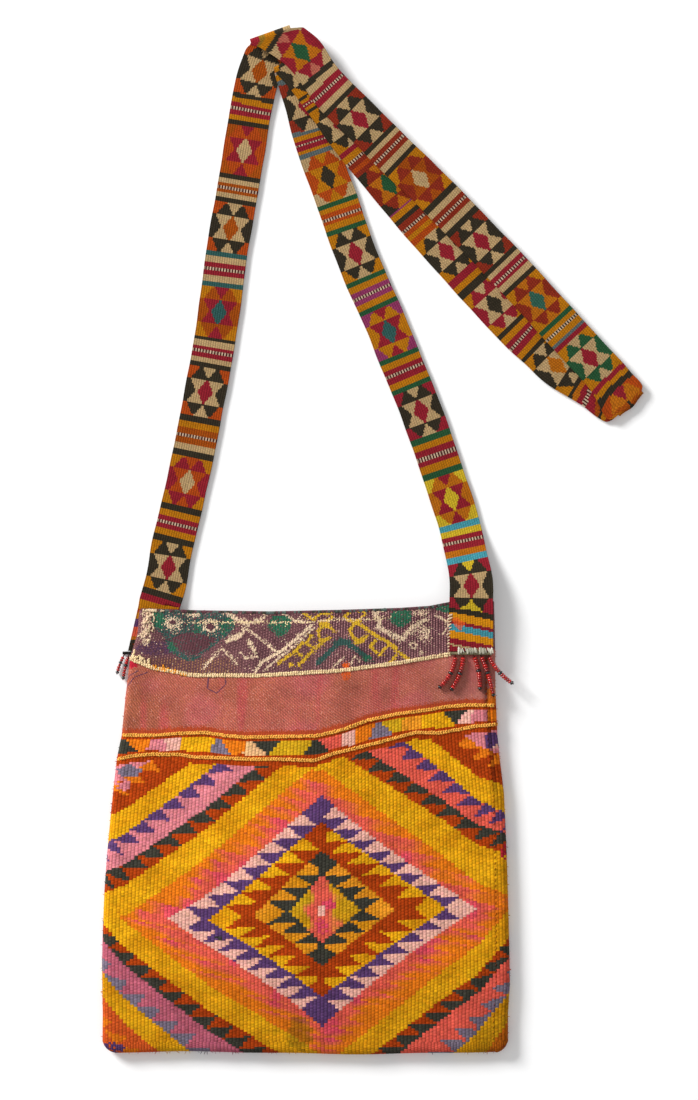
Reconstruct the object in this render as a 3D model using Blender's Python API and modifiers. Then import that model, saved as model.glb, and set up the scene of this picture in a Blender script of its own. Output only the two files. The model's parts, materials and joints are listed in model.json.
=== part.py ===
"""A woven betel nut bag, lying on its back with its shoulder strap laid out above it.

Metres, +Z up. The bag's back rests on z = 0, +Y runs from the bag's bottom to its mouth
and on along the strap. The origin is the middle of the bag's back.
"""

from math import ceil, cos, pi, radians, sin, sqrt

import bmesh
import bpy
from mathutils import Matrix, Vector

# Bag cloth
MOUTH_WIDTH = 0.195
BASE_WIDTH = 0.224
BAG_HEIGHT = 0.2453
MOUTH_SHIFT = 0.0077  # the mouth's middle lies this far right of the origin
BASE_SHIFT = 0.0011
CLOTH = 0.0015
EDGE_HEIGHT = 0.0068  # height of the flattened tube at its folded sides
BELLY_RISE = 0.0075  # further height of the front at the belly and at the mouth
MOUTH_RISE = 0.0050
CORNER_RADIUS = 0.0080

# Woven zones, from the bottom up
TAPESTRY_HEIGHT = 0.1750
TAPESTRY_STEP = 0.0150  # the border climbs by this much towards the right side
PINK_HEIGHT = 0.0345
CORD_SAG = 0.0070  # the cord line hangs this much lower in its middle
CORD_DIAMETER = 0.0016
HEM_DIAMETER = 0.0022

# Lines that part the front's moving middle from the sides
MOVING_INSET_MOUTH = 0.0435
MOVING_INSET_BASE = 0.0120
BACK_LIP = 0.012  # the side strips reach this far round onto the back
SEAM_INSET_MOUTH = 0.0052
SEAM_INSET_BASE = 0.0075
SEAM_DIAMETER = 0.0012

# Shoulder strap and its sewn ends
STRAP_WIDTH = 0.0228
STRAP_THICKNESS = 0.0015
LAY_GAP = 0.0004  # air between two layers of the folded strap
STRAP_REACH = 0.3185  # from the mouth up to the upper fold
STRAP_CLEAR_OF_MOUTH = 0.0015
TAB_LENGTH = 0.0257
WHIP_REACH_LEFT = 0.0060  # the left whipping sticks out this far past the folded edge
TAB_INSET_RIGHT = 0.0020
TAB_OVERHANG_LEFT = 0.0012
TWIST_LENGTH = 0.015
DRAPE_LENGTH = 0.045
WHIP_RADIUS = 0.0009
WHIP_OVERHANG = 0.0030
LIFT_FADE = 0.012  # over this the back comes down again beside the left end

# Bead strands
BEAD_RADIUS = 0.00105
BEAD_LENGTH = 0.00140
THREAD_RADIUS = 0.00025
STRAND_LENGTH = 0.0200
STRAND_LEAD = 0.0010  # bare thread between the whipping and the first bead

CLEARANCE = 0.0003

# Steps that the round and curved shapes are made in
WALL_COLUMNS = 18
ZONE_ROWS = {"tapestry_panel": 14, "pink_band": 4, "purple_band": 4}
SIDE_COLUMNS, SIDE_ROWS, FLANK_COLUMNS = 4, 16, 5
TAB_COLUMNS, TAB_ROWS = 4, 6
FOLD_STEPS, CORNER_STEPS, SEAM_STEPS = 8, 5, 12
SPAN_STEPS, CREASE_STEPS = 2, 3
BEAD_POINTS, BEAD_FACETS = 3, 12

# Shares of the sizes above
STEP_START_SHARE, STEP_SPREAD_SHARE = 0.45, 0.50  # where across the front the border climbs
FULL_THICKNESS_SHARE = 0.965  # of the strap's half width, inside its rounded selvedge
WAIST_SHARE, BARE_THREAD_SHARE = 0.57, 0.98  # a strand between two beads, and beside its black one
BEAD_RIM_SHARE = 0.60
CAP_DEGREES = (12, 45)  # rounding of the strap's two ends

# Name, place across the sewn end, length, first and last lean in degrees, place of the black bead
RIGHT_STRAND_SHARES = (
    ("a", 0.08, 1.00, -6, -52, 0.45),
    ("b", 0.29, 0.98, -4, -38, 0.45),
    ("c", 0.57, 0.95, 22, -4, 0.42),
    ("d", 0.76, 1.12, 24, 10, 0.40),
    ("e", 0.97, 0.98, 26, 58, 0.50),
)
LEFT_STRAND_SHARES = (("f", 0.13, 0.62, -16, -6, 0.30), ("g", 0.00, 0.52, -24, -12, 0.30))

# Strap route: across from the left end to the right end, up from the hinge line, layers beneath
LEFT_RUN_SHARES = (
    (0.000, 0.000, 0), (0.022, 0.042, 0), (0.038, 0.094, 0), (0.057, 0.137, 0), (0.076, 0.180, 0),
    (0.111, 0.266, 0), (0.142, 0.353, 0), (0.172, 0.439, 0), (0.196, 0.525, 0), (0.217, 0.612, 0),
    (0.245, 0.698, 0), (0.272, 0.784, 0), (0.293, 0.854, 0), (0.315, 0.912, 0), (0.351, 0.975, 0),
)
UPPER_TAIL_SHARES = (
    (0.351, 0.975, 3), (0.410, 0.955, 3), (0.477, 0.924, 3), (0.567, 0.878, 3), (0.663, 0.826, 2.6),
    (0.756, 0.776, 2), (0.862, 0.722, 1.4), (1.000, 0.646, 1), (1.138, 0.569, 1), (1.267, 0.493, 1),
    (1.350, 0.444, 1), (1.433, 0.396, 1), (1.501, 0.353, 1),
)
LOWER_TAIL_SHARES = (
    (1.501, 0.353, 0), (1.456, 0.367, 0), (1.408, 0.373, 0), (1.347, 0.389, 0), (1.276, 0.413, 0),
    (1.212, 0.446, 0), (1.141, 0.481, 0), (1.023, 0.550, 0), (0.907, 0.619, 0), (0.795, 0.688, 0.3),
    (0.689, 0.757, 1), (0.612, 0.807, 1.6), (0.548, 0.857, 2), (0.487, 0.902, 2), (0.426, 0.940, 2),
)
RIGHT_RUN_SHARES = (
    (0.426, 0.940, 1), (0.448, 0.902, 1), (0.469, 0.864, 1), (0.496, 0.810, 0.4), (0.529, 0.757, 0),
    (0.570, 0.698, 0), (0.614, 0.629, 0), (0.665, 0.560, 0), (0.723, 0.491, 0), (0.774, 0.422, 0),
    (0.827, 0.353, 0), (0.874, 0.284, 0), (0.917, 0.215, 0), (0.959, 0.146, 0), (0.985, 0.085, 0),
    (1.000, 0.042, 0), (1.000, 0.000, 0),
)

# Finishes
CLOTH_LOOKS = {
    "tapestry": (0.78, 0.36, 0.06), "pink": (0.46, 0.13, 0.15), "purple": (0.14, 0.04, 0.11),
    "cream": (0.82, 0.65, 0.38), "rust": (0.42, 0.05, 0.01), "strap": (0.40, 0.05, 0.06),
    "thread": (0.55, 0.50, 0.42), "red_glass": (0.45, 0.01, 0.01), "black_glass": (0.01, 0.01, 0.012),
}

# Worked out from the sizes above
BASE_Y = -BAG_HEIGHT / 2
MOUTH_Y = BAG_HEIGHT / 2
EDGE_RADIUS = EDGE_HEIGHT / 2
HINGE_Y = MOUTH_Y + STRAP_CLEAR_OF_MOUTH
LAYER = STRAP_THICKNESS + LAY_GAP
SIDE_FOOT_Y = BASE_Y + CORNER_RADIUS + EDGE_RADIUS / 2
WALL_FOOT_Y = BASE_Y + EDGE_RADIUS + sqrt(EDGE_RADIUS**2 - (EDGE_RADIUS - CLOTH) ** 2) + CLEARANCE


def mix(a, b, share):
    """The value a share of the way from a to b."""
    return a + (b - a) * share


def ease(share):
    """A share that leaves 0 and reaches 1 smoothly, and stays there outside."""
    share = min(max(share, 0), 1)
    return share * share * (3 - 2 * share)


def clear_scene():
    """Removes whatever the scene holds."""
    for old in list(bpy.data.objects):
        bpy.data.objects.remove(old, do_unlink=True)


def finish_of(look, roughness):
    """A plain material in one of the bag's colours."""
    name = f"{look}_finish"
    if name in bpy.data.materials:
        return bpy.data.materials[name]
    material = bpy.data.materials.new(name)
    material.use_nodes = True
    shader = material.node_tree.nodes["Principled BSDF"]
    shader.inputs["Base Color"].default_value = (*CLOTH_LOOKS[look], 1)
    shader.inputs["Roughness"].default_value = roughness
    shader.inputs["Metallic"].default_value = 0
    return material


def keep(obj, collection, look, roughness=0.9, pivot=None):
    """Files an object, dresses it and puts its origin on its joint's axis."""
    collection.objects.link(obj)
    obj.data.materials.append(finish_of(look, roughness))
    if pivot is not None:
        obj.data.transform(Matrix.Translation(-pivot))
        obj.location = pivot
    return obj


# The flattened tube of cloth

def up_share(y):
    """How far up the bag a place lies: 0 at the bottom, 1 at the mouth."""
    return min(max((y - BASE_Y) / BAG_HEIGHT, 0), 1)


def side_x(side, y):
    """The folded edge on the left (-1) or right (1) at this height."""
    share = up_share(y) ** 2
    return mix(BASE_SHIFT, MOUTH_SHIFT, share) + side * mix(BASE_WIDTH, MOUTH_WIDTH, share) / 2


def from_edge(x, y):
    """How far inside the nearer folded edge a place lies."""
    return min(x - side_x(-1, y), side_x(1, y) - x)


def tab_centre_x(side):
    """The middle of a sewn strap end, where the strap leaves it."""
    if side < 0:
        return side_x(-1, MOUTH_Y) - TAB_OVERHANG_LEFT + STRAP_WIDTH / 2
    return side_x(1, MOUTH_Y) - TAB_INSET_RIGHT - STRAP_WIDTH / 2


def tab_seat_height():
    """The height on which the right end lies: the front's highest point below it."""
    inner = from_edge(tab_centre_x(1) - STRAP_WIDTH / 2, MOUTH_Y)
    return EDGE_HEIGHT + MOUTH_RISE * ease((inner - EDGE_RADIUS) / (MOUTH_WIDTH / 2 - EDGE_RADIUS))


def hinge_line():
    """Two points of the line that the strap swings about, at the two sewn ends."""
    left = Vector((tab_centre_x(-1) - STRAP_WIDTH / 2, HINGE_Y, STRAP_THICKNESS / 2))
    right_z = tab_seat_height() + CLEARANCE + STRAP_THICKNESS / 2
    return left, Vector((tab_centre_x(1) - STRAP_WIDTH / 2, HINGE_Y, right_z))


def hinge_height(x):
    """The height of the strap's hinge line over a place across the bag."""
    left, right = hinge_line()
    return mix(left.z, right.z, (x - left.x) / (right.x - left.x))


def back_lift(x, y):
    """The back rises over the strap end and the whipping that lie beneath its left corner."""
    inner_x = tab_centre_x(-1) + STRAP_WIDTH / 2 + CLEARANCE
    low_y = HINGE_Y - TAB_LENGTH - 4 * WHIP_RADIUS
    beside = ease((inner_x + LIFT_FADE - x) / LIFT_FADE) * ease((y - low_y + LIFT_FADE) / LIFT_FADE)
    tilt = max(hinge_height(x) - STRAP_THICKNESS / 2, 0) * ease((y - low_y) / TAB_LENGTH)
    return (2 * WHIP_RADIUS + CLEARANCE + tilt) * beside


def front_height(x, y):
    """Height of the front's outer face."""
    inside = from_edge(x, y)
    share = up_share(y)
    rise = MOUTH_RISE * ease(2 * share) + (BELLY_RISE - MOUTH_RISE) * sin(pi * share)
    half = (side_x(1, y) - side_x(-1, y)) / 2
    top = EDGE_HEIGHT + rise * ease((inside - EDGE_RADIUS) / (half - EDGE_RADIUS))
    middle = (EDGE_HEIGHT + back_lift(x, y)) / 2
    return middle + (top - middle) * edge_cap(inside)


def edge_cap(inside):
    """How open the round of a folded edge is at a distance inside it."""
    return sqrt(1 - (1 - min(max(inside / EDGE_RADIUS, 0), 1)) ** 2)


def split_x(side, y):
    """The line that parts the front's moving middle from its side."""
    share = up_share(y)
    half = mix(BASE_WIDTH / 2 - MOVING_INSET_BASE, MOUTH_WIDTH / 2 - MOVING_INSET_MOUTH, share)
    return mix(BASE_SHIFT, MOUTH_SHIFT, share) + side * half


def seam_x(y):
    """The sewn join on the front, near the right edge."""
    return side_x(1, y) - mix(SEAM_INSET_BASE, SEAM_INSET_MOUTH, up_share(y))


def tapestry_top(across):
    """The line where the tapestry panel ends, which climbs towards the right."""
    climbed = ease((across - STEP_START_SHARE) / STEP_SPREAD_SHARE)
    return BASE_Y + TAPESTRY_HEIGHT + TAPESTRY_STEP * climbed


def cord_line(across):
    """The line of the cream cord between the pink and the purple band."""
    return BASE_Y + TAPESTRY_HEIGHT + PINK_HEIGHT + CORD_SAG * (2 * across - 1) ** 2


# Cloth pieces

def cloth_piece(name, columns, rows, place, look, collection, pivot=None):
    """A grid laid out by place(column, row), then thickened inwards."""
    bm = bmesh.new()
    bmesh.ops.create_grid(bm, x_segments=columns, y_segments=rows, size=0.5)
    for vert in bm.verts:
        column = round((vert.co.x + 0.5) * columns)
        row = round((vert.co.y + 0.5) * rows)
        vert.co = place(column, row)
    mesh = bpy.data.meshes.new(name)
    bm.to_mesh(mesh)
    bm.free()
    mesh.shade_smooth()
    obj = bpy.data.objects.new(name, mesh)
    shell = obj.modifiers.new("Thickness", "SOLIDIFY")
    shell.thickness = CLOTH
    shell.offset = -1
    return keep(obj, collection, look, pivot=pivot)


def front_x(share, y):
    """A place across the front's moving middle."""
    return mix(split_x(-1, y) + CLEARANCE, split_x(1, y) - CLEARANCE, share)


def back_x(share, y):
    """A place across the back, between the two side strips."""
    inset = BACK_LIP + CLEARANCE
    return mix(side_x(-1, y) + inset, side_x(1, y) - inset, share)


def zone_lines(across):
    """Where each woven zone begins and ends up the bag, at a share of the way across it."""
    groove = CORD_DIAMETER / 2 + CLEARANCE
    border, cord = tapestry_top(across), cord_line(across)
    return {
        "tapestry_panel": (WALL_FOOT_Y, border - CLEARANCE),
        "pink_band": (border, cord - groove),
        "purple_band": (cord + groove, MOUTH_Y - HEM_DIAMETER - CLEARANCE),
    }


def wall_zone(zone, face, collection, pivot):
    """One woven zone of the front's moving middle (face 1) or of the back (face -1)."""
    rows = ZONE_ROWS[zone]

    def place(column, row):
        # The back is laid out from the right, so that its faces look down.
        share = column / WALL_COLUMNS if face > 0 else 1 - column / WALL_COLUMNS
        low, high = zone_lines(share)[zone]
        y = mix(low, high, row / rows)
        if face > 0:
            x = front_x(share, y)
            return Vector((x, y, front_height(x, y)))
        x = back_x(share, y)
        return Vector((x, y, back_lift(x, y)))

    name = f"{'front' if face > 0 else 'back'}_{zone}"
    return cloth_piece(name, WALL_COLUMNS, rows, place, zone.split("_")[0], collection, pivot)


def side_reach(side, y):
    """How far a side strip reaches onto the front from its folded edge."""
    if side < 0:
        return split_x(-1, y) - side_x(-1, y)
    return side_x(1, y) - seam_x(y) - SEAM_DIAMETER / 2 - CLEARANCE


def fold_strip(name, side, collection):
    """A side of the bag: from the front, round the folded edge and onto the back."""
    last = 2 * SIDE_COLUMNS + FOLD_STEPS

    def place(column, row):
        # The left strip is laid out backwards, so that its faces look out of the bag too.
        column = column if side > 0 else last - column
        y = mix(SIDE_FOOT_Y, MOUTH_Y, row / SIDE_ROWS)
        edge = side_x(side, y)
        if column < SIDE_COLUMNS:
            x = edge - side * mix(side_reach(side, y), EDGE_RADIUS, column / SIDE_COLUMNS)
            return Vector((x, y, front_height(x, y)))
        beyond = column - SIDE_COLUMNS - FOLD_STEPS
        if beyond > 0:
            x = edge - side * mix(EDGE_RADIUS, BACK_LIP, beyond / SIDE_COLUMNS)
            return Vector((x, y, back_lift(x, y)))
        turn = pi * (column - SIDE_COLUMNS) / FOLD_STEPS
        x = edge - side * EDGE_RADIUS * (1 - sin(turn))
        low = back_lift(edge - side * EDGE_RADIUS, y)
        return Vector((x, y, mix(low, EDGE_HEIGHT, (1 + cos(turn)) / 2)))

    return cloth_piece(name, last, SIDE_ROWS, place, "tapestry", collection)


def right_flank(collection):
    """The front's fixed right side, between the moving middle and the sewn join."""
    groove = SEAM_DIAMETER / 2 + CLEARANCE

    def place(column, row):
        y = mix(SIDE_FOOT_Y, MOUTH_Y, row / SIDE_ROWS)
        x = mix(split_x(1, y), seam_x(y) - groove, column / FLANK_COLUMNS)
        return Vector((x, y, front_height(x, y)))

    return cloth_piece("front_right_flank", FLANK_COLUMNS, SIDE_ROWS, place, "tapestry", collection)


# Cords, hems and seams

def tube(name, points, radius, look, collection, shares=None, sides=2, pivot=None):
    """A round tube along points, thinner or thicker where shares say so."""
    curve = bpy.data.curves.new(name, "CURVE")
    curve.dimensions = "3D"
    curve.bevel_depth = radius
    curve.bevel_resolution = sides
    curve.use_fill_caps = True
    spline = curve.splines.new("POLY")
    spline.points.add(len(points) - 1)
    for index, point in enumerate(points):
        spline.points[index].co = (*point, 1)
        spline.points[index].radius = shares[index] if shares else 1
    return keep(bpy.data.objects.new(name, curve), collection, look, pivot=pivot)


def line_points(x_of, y_of, height_of, raised, steps):
    """Points along a line on one wall of the bag, raised by this much from its outer face."""
    points = []
    for step in range(steps + 1):
        y = y_of(step / steps)
        x = x_of(step / steps, y)
        points.append(Vector((x, y, height_of(x, y) + raised)))
    return points


def hem_line(across):
    """The line of the rolled hem, straight across the mouth."""
    return MOUTH_Y - HEM_DIAMETER / 2


def cord_and_hem(name, line, width, look, collection, pivot):
    """A cord that runs across the front, and its fellow across the back."""
    front = line_points(front_x, line, front_height, -CLOTH / 2, WALL_COLUMNS)
    tube(f"front_{name}", front, width / 2, look, collection, pivot=pivot)
    back = line_points(back_x, line, back_lift, width / 2, WALL_COLUMNS)
    tube(f"back_{name}", back, width / 2, look, collection)


def bottom_seam(collection):
    """The rolled and sewn bottom edge, turned up at both corners."""
    bend = CORNER_RADIUS - EDGE_RADIUS
    top_y = BASE_Y + CORNER_RADIUS
    end_y = SIDE_FOOT_Y - CLEARANCE
    points = []
    for side in (-1, 1):
        corner_x = side_x(side, top_y) - side * CORNER_RADIUS
        arc = [Vector((corner_x + side * bend, end_y, EDGE_RADIUS))]
        for step in range(CORNER_STEPS + 1):
            turn = pi / 2 * step / CORNER_STEPS
            arc.append(Vector((corner_x + side * bend * cos(turn), top_y - bend * sin(turn), EDGE_RADIUS)))
        points += arc if side < 0 else reversed(arc)
    tube("bottom_seam", points, EDGE_RADIUS, "rust", collection)


def side_seam(collection):
    """The join's sewn ridge, let into the groove between the flank and the wrap."""
    def along_seam(share, y):
        return seam_x(y)

    def up_the_side(share):
        return mix(SIDE_FOOT_Y, MOUTH_Y, share)

    points = line_points(along_seam, up_the_side, front_height, -CLOTH / 2, SEAM_STEPS)
    tube("right_side_seam", points, SEAM_DIAMETER / 2, "rust", collection)


# Sewn strap ends

def strap_end(side, collection):
    """The sewn end of the strap: on the front at the right, beneath the back at the left."""
    where = "right" if side > 0 else "left"
    near_y = HINGE_Y - STRAP_THICKNESS / 2 - CLEARANCE
    far_y = HINGE_Y - TAB_LENGTH
    whip_y = far_y - CLEARANCE - WHIP_RADIUS
    left = tab_centre_x(side) - STRAP_WIDTH / 2
    seat, slant = tab_seat_height() + CLEARANCE, 0
    if side < 0:
        # The left end lies on the ground and leans outwards, until its whipping clears the fold.
        seat = 0
        slant = left - WHIP_OVERHANG - (side_x(-1, whip_y) - WHIP_REACH_LEFT)
        left -= slant + WHIP_OVERHANG
    right = left + STRAP_WIDTH

    def place(column, row):
        share = row / TAB_ROWS
        hinge_x = tab_centre_x(side) + STRAP_WIDTH * (column / TAB_COLUMNS - 0.5)
        top = mix(seat + STRAP_THICKNESS, hinge_height(hinge_x) + STRAP_THICKNESS / 2, ease(share))
        return Vector((hinge_x - slant * (1 - share), mix(far_y, near_y, share), top))

    end = cloth_piece(f"strap_end_{where}", TAB_COLUMNS, TAB_ROWS, place, "strap", collection)
    end.modifiers["Thickness"].thickness = STRAP_THICKNESS
    points = []
    for step in range(TAB_COLUMNS + 1):
        points.append(Vector((mix(left, right, step / TAB_COLUMNS), whip_y, seat + WHIP_RADIUS)))
    tube(f"whipping_{where}", points, WHIP_RADIUS, "thread", collection)
    return left, right, whip_y - WHIP_RADIUS - CLEARANCE


# The strap, one band with three folds

def smooth_route(shares):
    """Points on a smooth line through hand-chosen shares of the strap's spread and reach."""
    start_x, spread = tab_centre_x(-1), tab_centre_x(1) - tab_centre_x(-1)
    marks = [
        Vector((start_x + across * spread, HINGE_Y + up * STRAP_REACH, STRAP_THICKNESS / 2 + layer * LAYER))
        for across, up, layer in shares
    ]
    marks = [2 * marks[0] - marks[1], *marks, 2 * marks[-1] - marks[-2]]
    points = []
    for a, b, c, d in zip(marks, marks[1:], marks[2:], marks[3:]):
        for step in range(SPAN_STEPS):
            t = step / SPAN_STEPS
            points.append((2 * b + (c - a) * t + (2 * a - 5 * b + 4 * c - d) * t**2
                           + (3 * b - a - 3 * c + d) * t**3) / 2)
    return points + [marks[-2]]


def heading(points, index):
    """The flat direction of a route at one of its points."""
    along = points[min(index + 1, len(points) - 1)] - points[max(index - 1, 0)]
    return Vector((along.x, along.y, 0)).normalized()


def crease_of(into, out_of, incoming):
    """The half width along a fold's crease, on the same side as the band's own."""
    line = (into + out_of).normalized()
    slope = abs(into.cross(line).z)
    across = line * STRAP_WIDTH / 2 / slope
    return across if across.dot(incoming) > 0 else -across


def band_sections():
    """Sections of the band: middle, half width and half thickness, from end to end."""
    routes = (LEFT_RUN_SHARES, UPPER_TAIL_SHARES, LOWER_TAIL_SHARES, RIGHT_RUN_SHARES)
    runs = [smooth_route(shares) for shares in routes]
    sections, side = [], 1
    start_crease = None
    for number, points in enumerate(runs):
        last = len(points) - 1
        ways = [heading(points, index) for index in range(last + 1)]
        halves = [Vector((-way.y, way.x, 0)) * side * STRAP_WIDTH / 2 for way in ways]
        turn_into = runs[number + 1] if number < len(runs) - 1 else None
        end_crease = None
        if turn_into:
            end_crease = crease_of(ways[-1], heading(turn_into, 0), halves[-1])
        for index, (point, half) in enumerate(zip(points, halves)):
            for crease, steps in ((start_crease, index), (end_crease, last - index)):
                if crease and steps < CREASE_STEPS:
                    half = crease.lerp(half, steps / CREASE_STEPS)
            sections.append((point, half, Vector((0, 0, side * STRAP_THICKNESS / 2))))
        if turn_into:
            sections += turned_sections(points[-1], turn_into[0], ways[-1], end_crease, side)
            start_crease = end_crease
            side = -side
    return with_hinged_ends(sections)


def turned_sections(low, high, way, crease, side):
    """Sections round a flat fold, from one layer to another."""
    out = Vector((crease.y, -crease.x, 0)).normalized()
    out = out if out.dot(way) > 0 else -out
    reach = abs(high.z - low.z) / 2
    inward = 1 if low.z > high.z else -1
    found = []
    for step in range(1, FOLD_STEPS):
        turn = pi * step / FOLD_STEPS
        point = low + out * reach * sin(turn)
        point.z = mix(low.z, high.z, (1 - cos(turn)) / 2)
        facing = Vector((0, 0, cos(turn))) + out * sin(turn) * inward
        found.append((point, crease, facing * side * STRAP_THICKNESS / 2))
    return found


def with_hinged_ends(sections):
    """Both ends of the band brought to the hinge line, twisted along it and rounded off."""
    shaped = []
    for point, half, thick in sections:
        point, half = point.copy(), half.copy()
        along = point.y - HINGE_Y
        at_right = point.x > (tab_centre_x(-1) + tab_centre_x(1)) / 2
        settle = DRAPE_LENGTH if at_right else TWIST_LENGTH
        held = 1 - ease(along / settle)
        flat_z = point.z
        point.z = mix(flat_z, hinge_height(point.x), held)
        half.z = mix(0, hinge_height(point.x + half.x) - hinge_height(point.x), held)
        if along < CLEARANCE:
            half.y = 0
            half.x = STRAP_WIDTH / 2 * (1 if half.x > 0 else -1)
            half.z = hinge_height(point.x + half.x) - hinge_height(point.x)
        shaped.append((point, half, thick))
    for end, order in ((0, 1), (-1, -1)):
        point, half, thick = shaped[end]
        caps = []
        for turn in map(radians, CAP_DEGREES):
            back = Vector((0, -cos(turn) * STRAP_THICKNESS / 2, 0))
            caps.append((point + back, half, thick * sin(turn)))
        shaped = caps + shaped if order > 0 else shaped + caps[::-1]
    return shaped


def strap(collection, pivot):
    """The woven band, lofted through its sections with rounded selvedges."""
    flat = FULL_THICKNESS_SHARE
    profile = ((-1, 0), (-flat, 1), (flat, 1), (1, 0), (flat, -1), (-flat, -1))
    bm = bmesh.new()
    rings = []
    for point, half, thick in band_sections():
        rings.append([bm.verts.new(point + half * across + thick * up) for across, up in profile])
    count = len(profile)
    for ring, following in zip(rings, rings[1:]):
        for index in range(count):
            after = (index + 1) % count
            bm.faces.new((ring[index], ring[after], following[after], following[index]))
    bm.faces.new(rings[0])
    bm.faces.new(rings[-1])
    bmesh.ops.recalc_face_normals(bm, faces=bm.faces)
    mesh = bpy.data.meshes.new("strap")
    bm.to_mesh(mesh)
    bm.free()
    mesh.shade_smooth()
    keep(bpy.data.objects.new("strap", mesh), collection, "strap", pivot=pivot)


# Bead strands

def lying_height(x, y, side):
    """The height at which a strand lies: on the front at the right, on the ground at the left."""
    if side < 0:
        return BEAD_RADIUS
    x = min(x, side_x(1, y) - EDGE_RADIUS)
    return max(front_height(x, y), EDGE_HEIGHT) + CLEARANCE + BEAD_RADIUS


def strand_points(start, length, leans, side):
    """Places along a strand, several to a bead, as it curls from one lean to another."""
    last = BEAD_POINTS * ceil(length / BEAD_LENGTH)
    points, x, y = [], start[0], start[1]
    for step in range(last + 1):
        points.append(Vector((x, y, lying_height(x, y, side))))
        lean = radians(mix(leans[0], leans[1], step / last))
        x += sin(lean) * BEAD_LENGTH / BEAD_POINTS
        y -= cos(lean) * BEAD_LENGTH / BEAD_POINTS
    return points


def bead_strand(shares, start, side, collection):
    """A thread of red beads with one black bead, bored to let the thread through."""
    name, length_share, first_lean, last_lean, black_share = shares
    pivot = Vector((*start, lying_height(*start, side)))
    lean = radians(first_lean)
    first = (start[0] + sin(lean) * STRAND_LEAD, start[1] - cos(lean) * STRAND_LEAD)
    points = strand_points(first, length_share * STRAND_LENGTH - STRAND_LEAD, (first_lean, last_lean), side)
    black = max(round((len(points) // BEAD_POINTS) * black_share), 1)
    ends = (BEAD_POINTS * black, BEAD_POINTS * (black + 1))
    bare_share = THREAD_RADIUS / BEAD_RADIUS
    neck = points[0].lerp(pivot, (1 - BARE_THREAD_SHARE) * CLEARANCE / STRAND_LEAD)
    route, widths = [pivot, neck], [bare_share, bare_share]
    for index, point in enumerate(points):
        if ends[0] < index < ends[1]:
            continue
        places = [(point, WAIST_SHARE if index % BEAD_POINTS == 0 else 1)]
        if index in ends:
            inward = 1 if index == ends[0] else -1
            gap = (points[index + inward] - point).normalized() * CLEARANCE
            bare = (point - gap * BARE_THREAD_SHARE, bare_share)
            places = [(point - gap, WAIST_SHARE), bare][::inward]
        for place, width in places:
            route.append(place)
            widths.append(width)
    strand = tube(f"strand_{name}", route, BEAD_RADIUS, "red_glass", collection, widths, 1, pivot)
    black_bead(f"black_bead_{name}", points[ends[0]], points[ends[1]], strand, pivot, collection)


def black_bead(name, start, end, strand, pivot, collection):
    """A turned glass bead whose bore clears the thread, carried by its strand."""
    bore = THREAD_RADIUS + CLEARANCE
    half = (end - start).length / 2
    rim = mix(bore, BEAD_RADIUS, BEAD_RIM_SHARE)
    outer = ((rim, half), (BEAD_RADIUS, half / 2), (BEAD_RADIUS, -half / 2), (rim, -half))
    profile = ((bore, half), *outer, (bore, -half))
    mesh = bpy.data.meshes.new(name)
    edges = [(index, (index + 1) % len(profile)) for index in range(len(profile))]
    mesh.from_pydata([(x, 0, z) for x, z in profile], edges, [])
    bead = bpy.data.objects.new(name, mesh)
    spin = bead.modifiers.new("Turned", "SCREW")
    spin.steps = spin.render_steps = BEAD_FACETS
    spin.use_merge_vertices = True
    spin.merge_threshold = BEAD_RADIUS / 100
    keep(bead, collection, "black_glass", roughness=0.2)
    bead.parent = strand
    bead.matrix_parent_inverse = Matrix.Translation(-pivot)
    turn = (end - start).to_track_quat("Z", "Y").to_matrix().to_4x4()
    bead.matrix_basis = Matrix.Translation((start + end) / 2) @ turn


def bead_strands(side, shares_table, tab, collection):
    """The strands that hang from one sewn strap end."""
    left, right, y = tab
    for shares in shares_table:
        x = mix(left + BEAD_RADIUS, right - BEAD_RADIUS, shares[1])
        bead_strand((shares[0], *shares[2:]), (x, y), side, collection)


def main():
    """Builds the bag."""
    clear_scene()
    collection = bpy.data.collections.new("betel_nut_bag")
    bpy.context.scene.collection.children.link(collection)
    front_pivot = Vector((0, WALL_FOOT_Y, EDGE_HEIGHT - CLOTH / 2))
    for face, pivot in ((1, front_pivot), (-1, None)):
        for zone in ZONE_ROWS:
            wall_zone(zone, face, collection, pivot)
    cord_and_hem("cream_cord", cord_line, CORD_DIAMETER, "cream", collection, front_pivot)
    cord_and_hem("mouth_hem", hem_line, HEM_DIAMETER, "purple", collection, front_pivot)
    fold_strip("left_fold_strip", -1, collection)
    fold_strip("right_wrap_strip", 1, collection)
    right_flank(collection)
    side_seam(collection)
    bottom_seam(collection)
    for side, shares_table in ((1, RIGHT_STRAND_SHARES), (-1, LEFT_STRAND_SHARES)):
        bead_strands(side, shares_table, strap_end(side, collection), collection)
    strap(collection, hinge_line()[0])


main()
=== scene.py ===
"""A tapestry-woven betel nut bag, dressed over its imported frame.

Metres, +Z up, in the frame of the CAD model: the bag's back lies on z = 0, +Y runs from its
bottom to its mouth and on along the folded strap. Patterns are placed by marks read off the
photograph, which are turned to metres by one scale.
"""

import json
import logging
from collections.abc import Callable, Sequence
from dataclasses import dataclass, field
from enum import Enum
from functools import partial
from math import ceil, cos, pi, radians, sin, sqrt

import bmesh
import bpy
import numpy as np
from mathutils import Matrix, Vector

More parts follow.
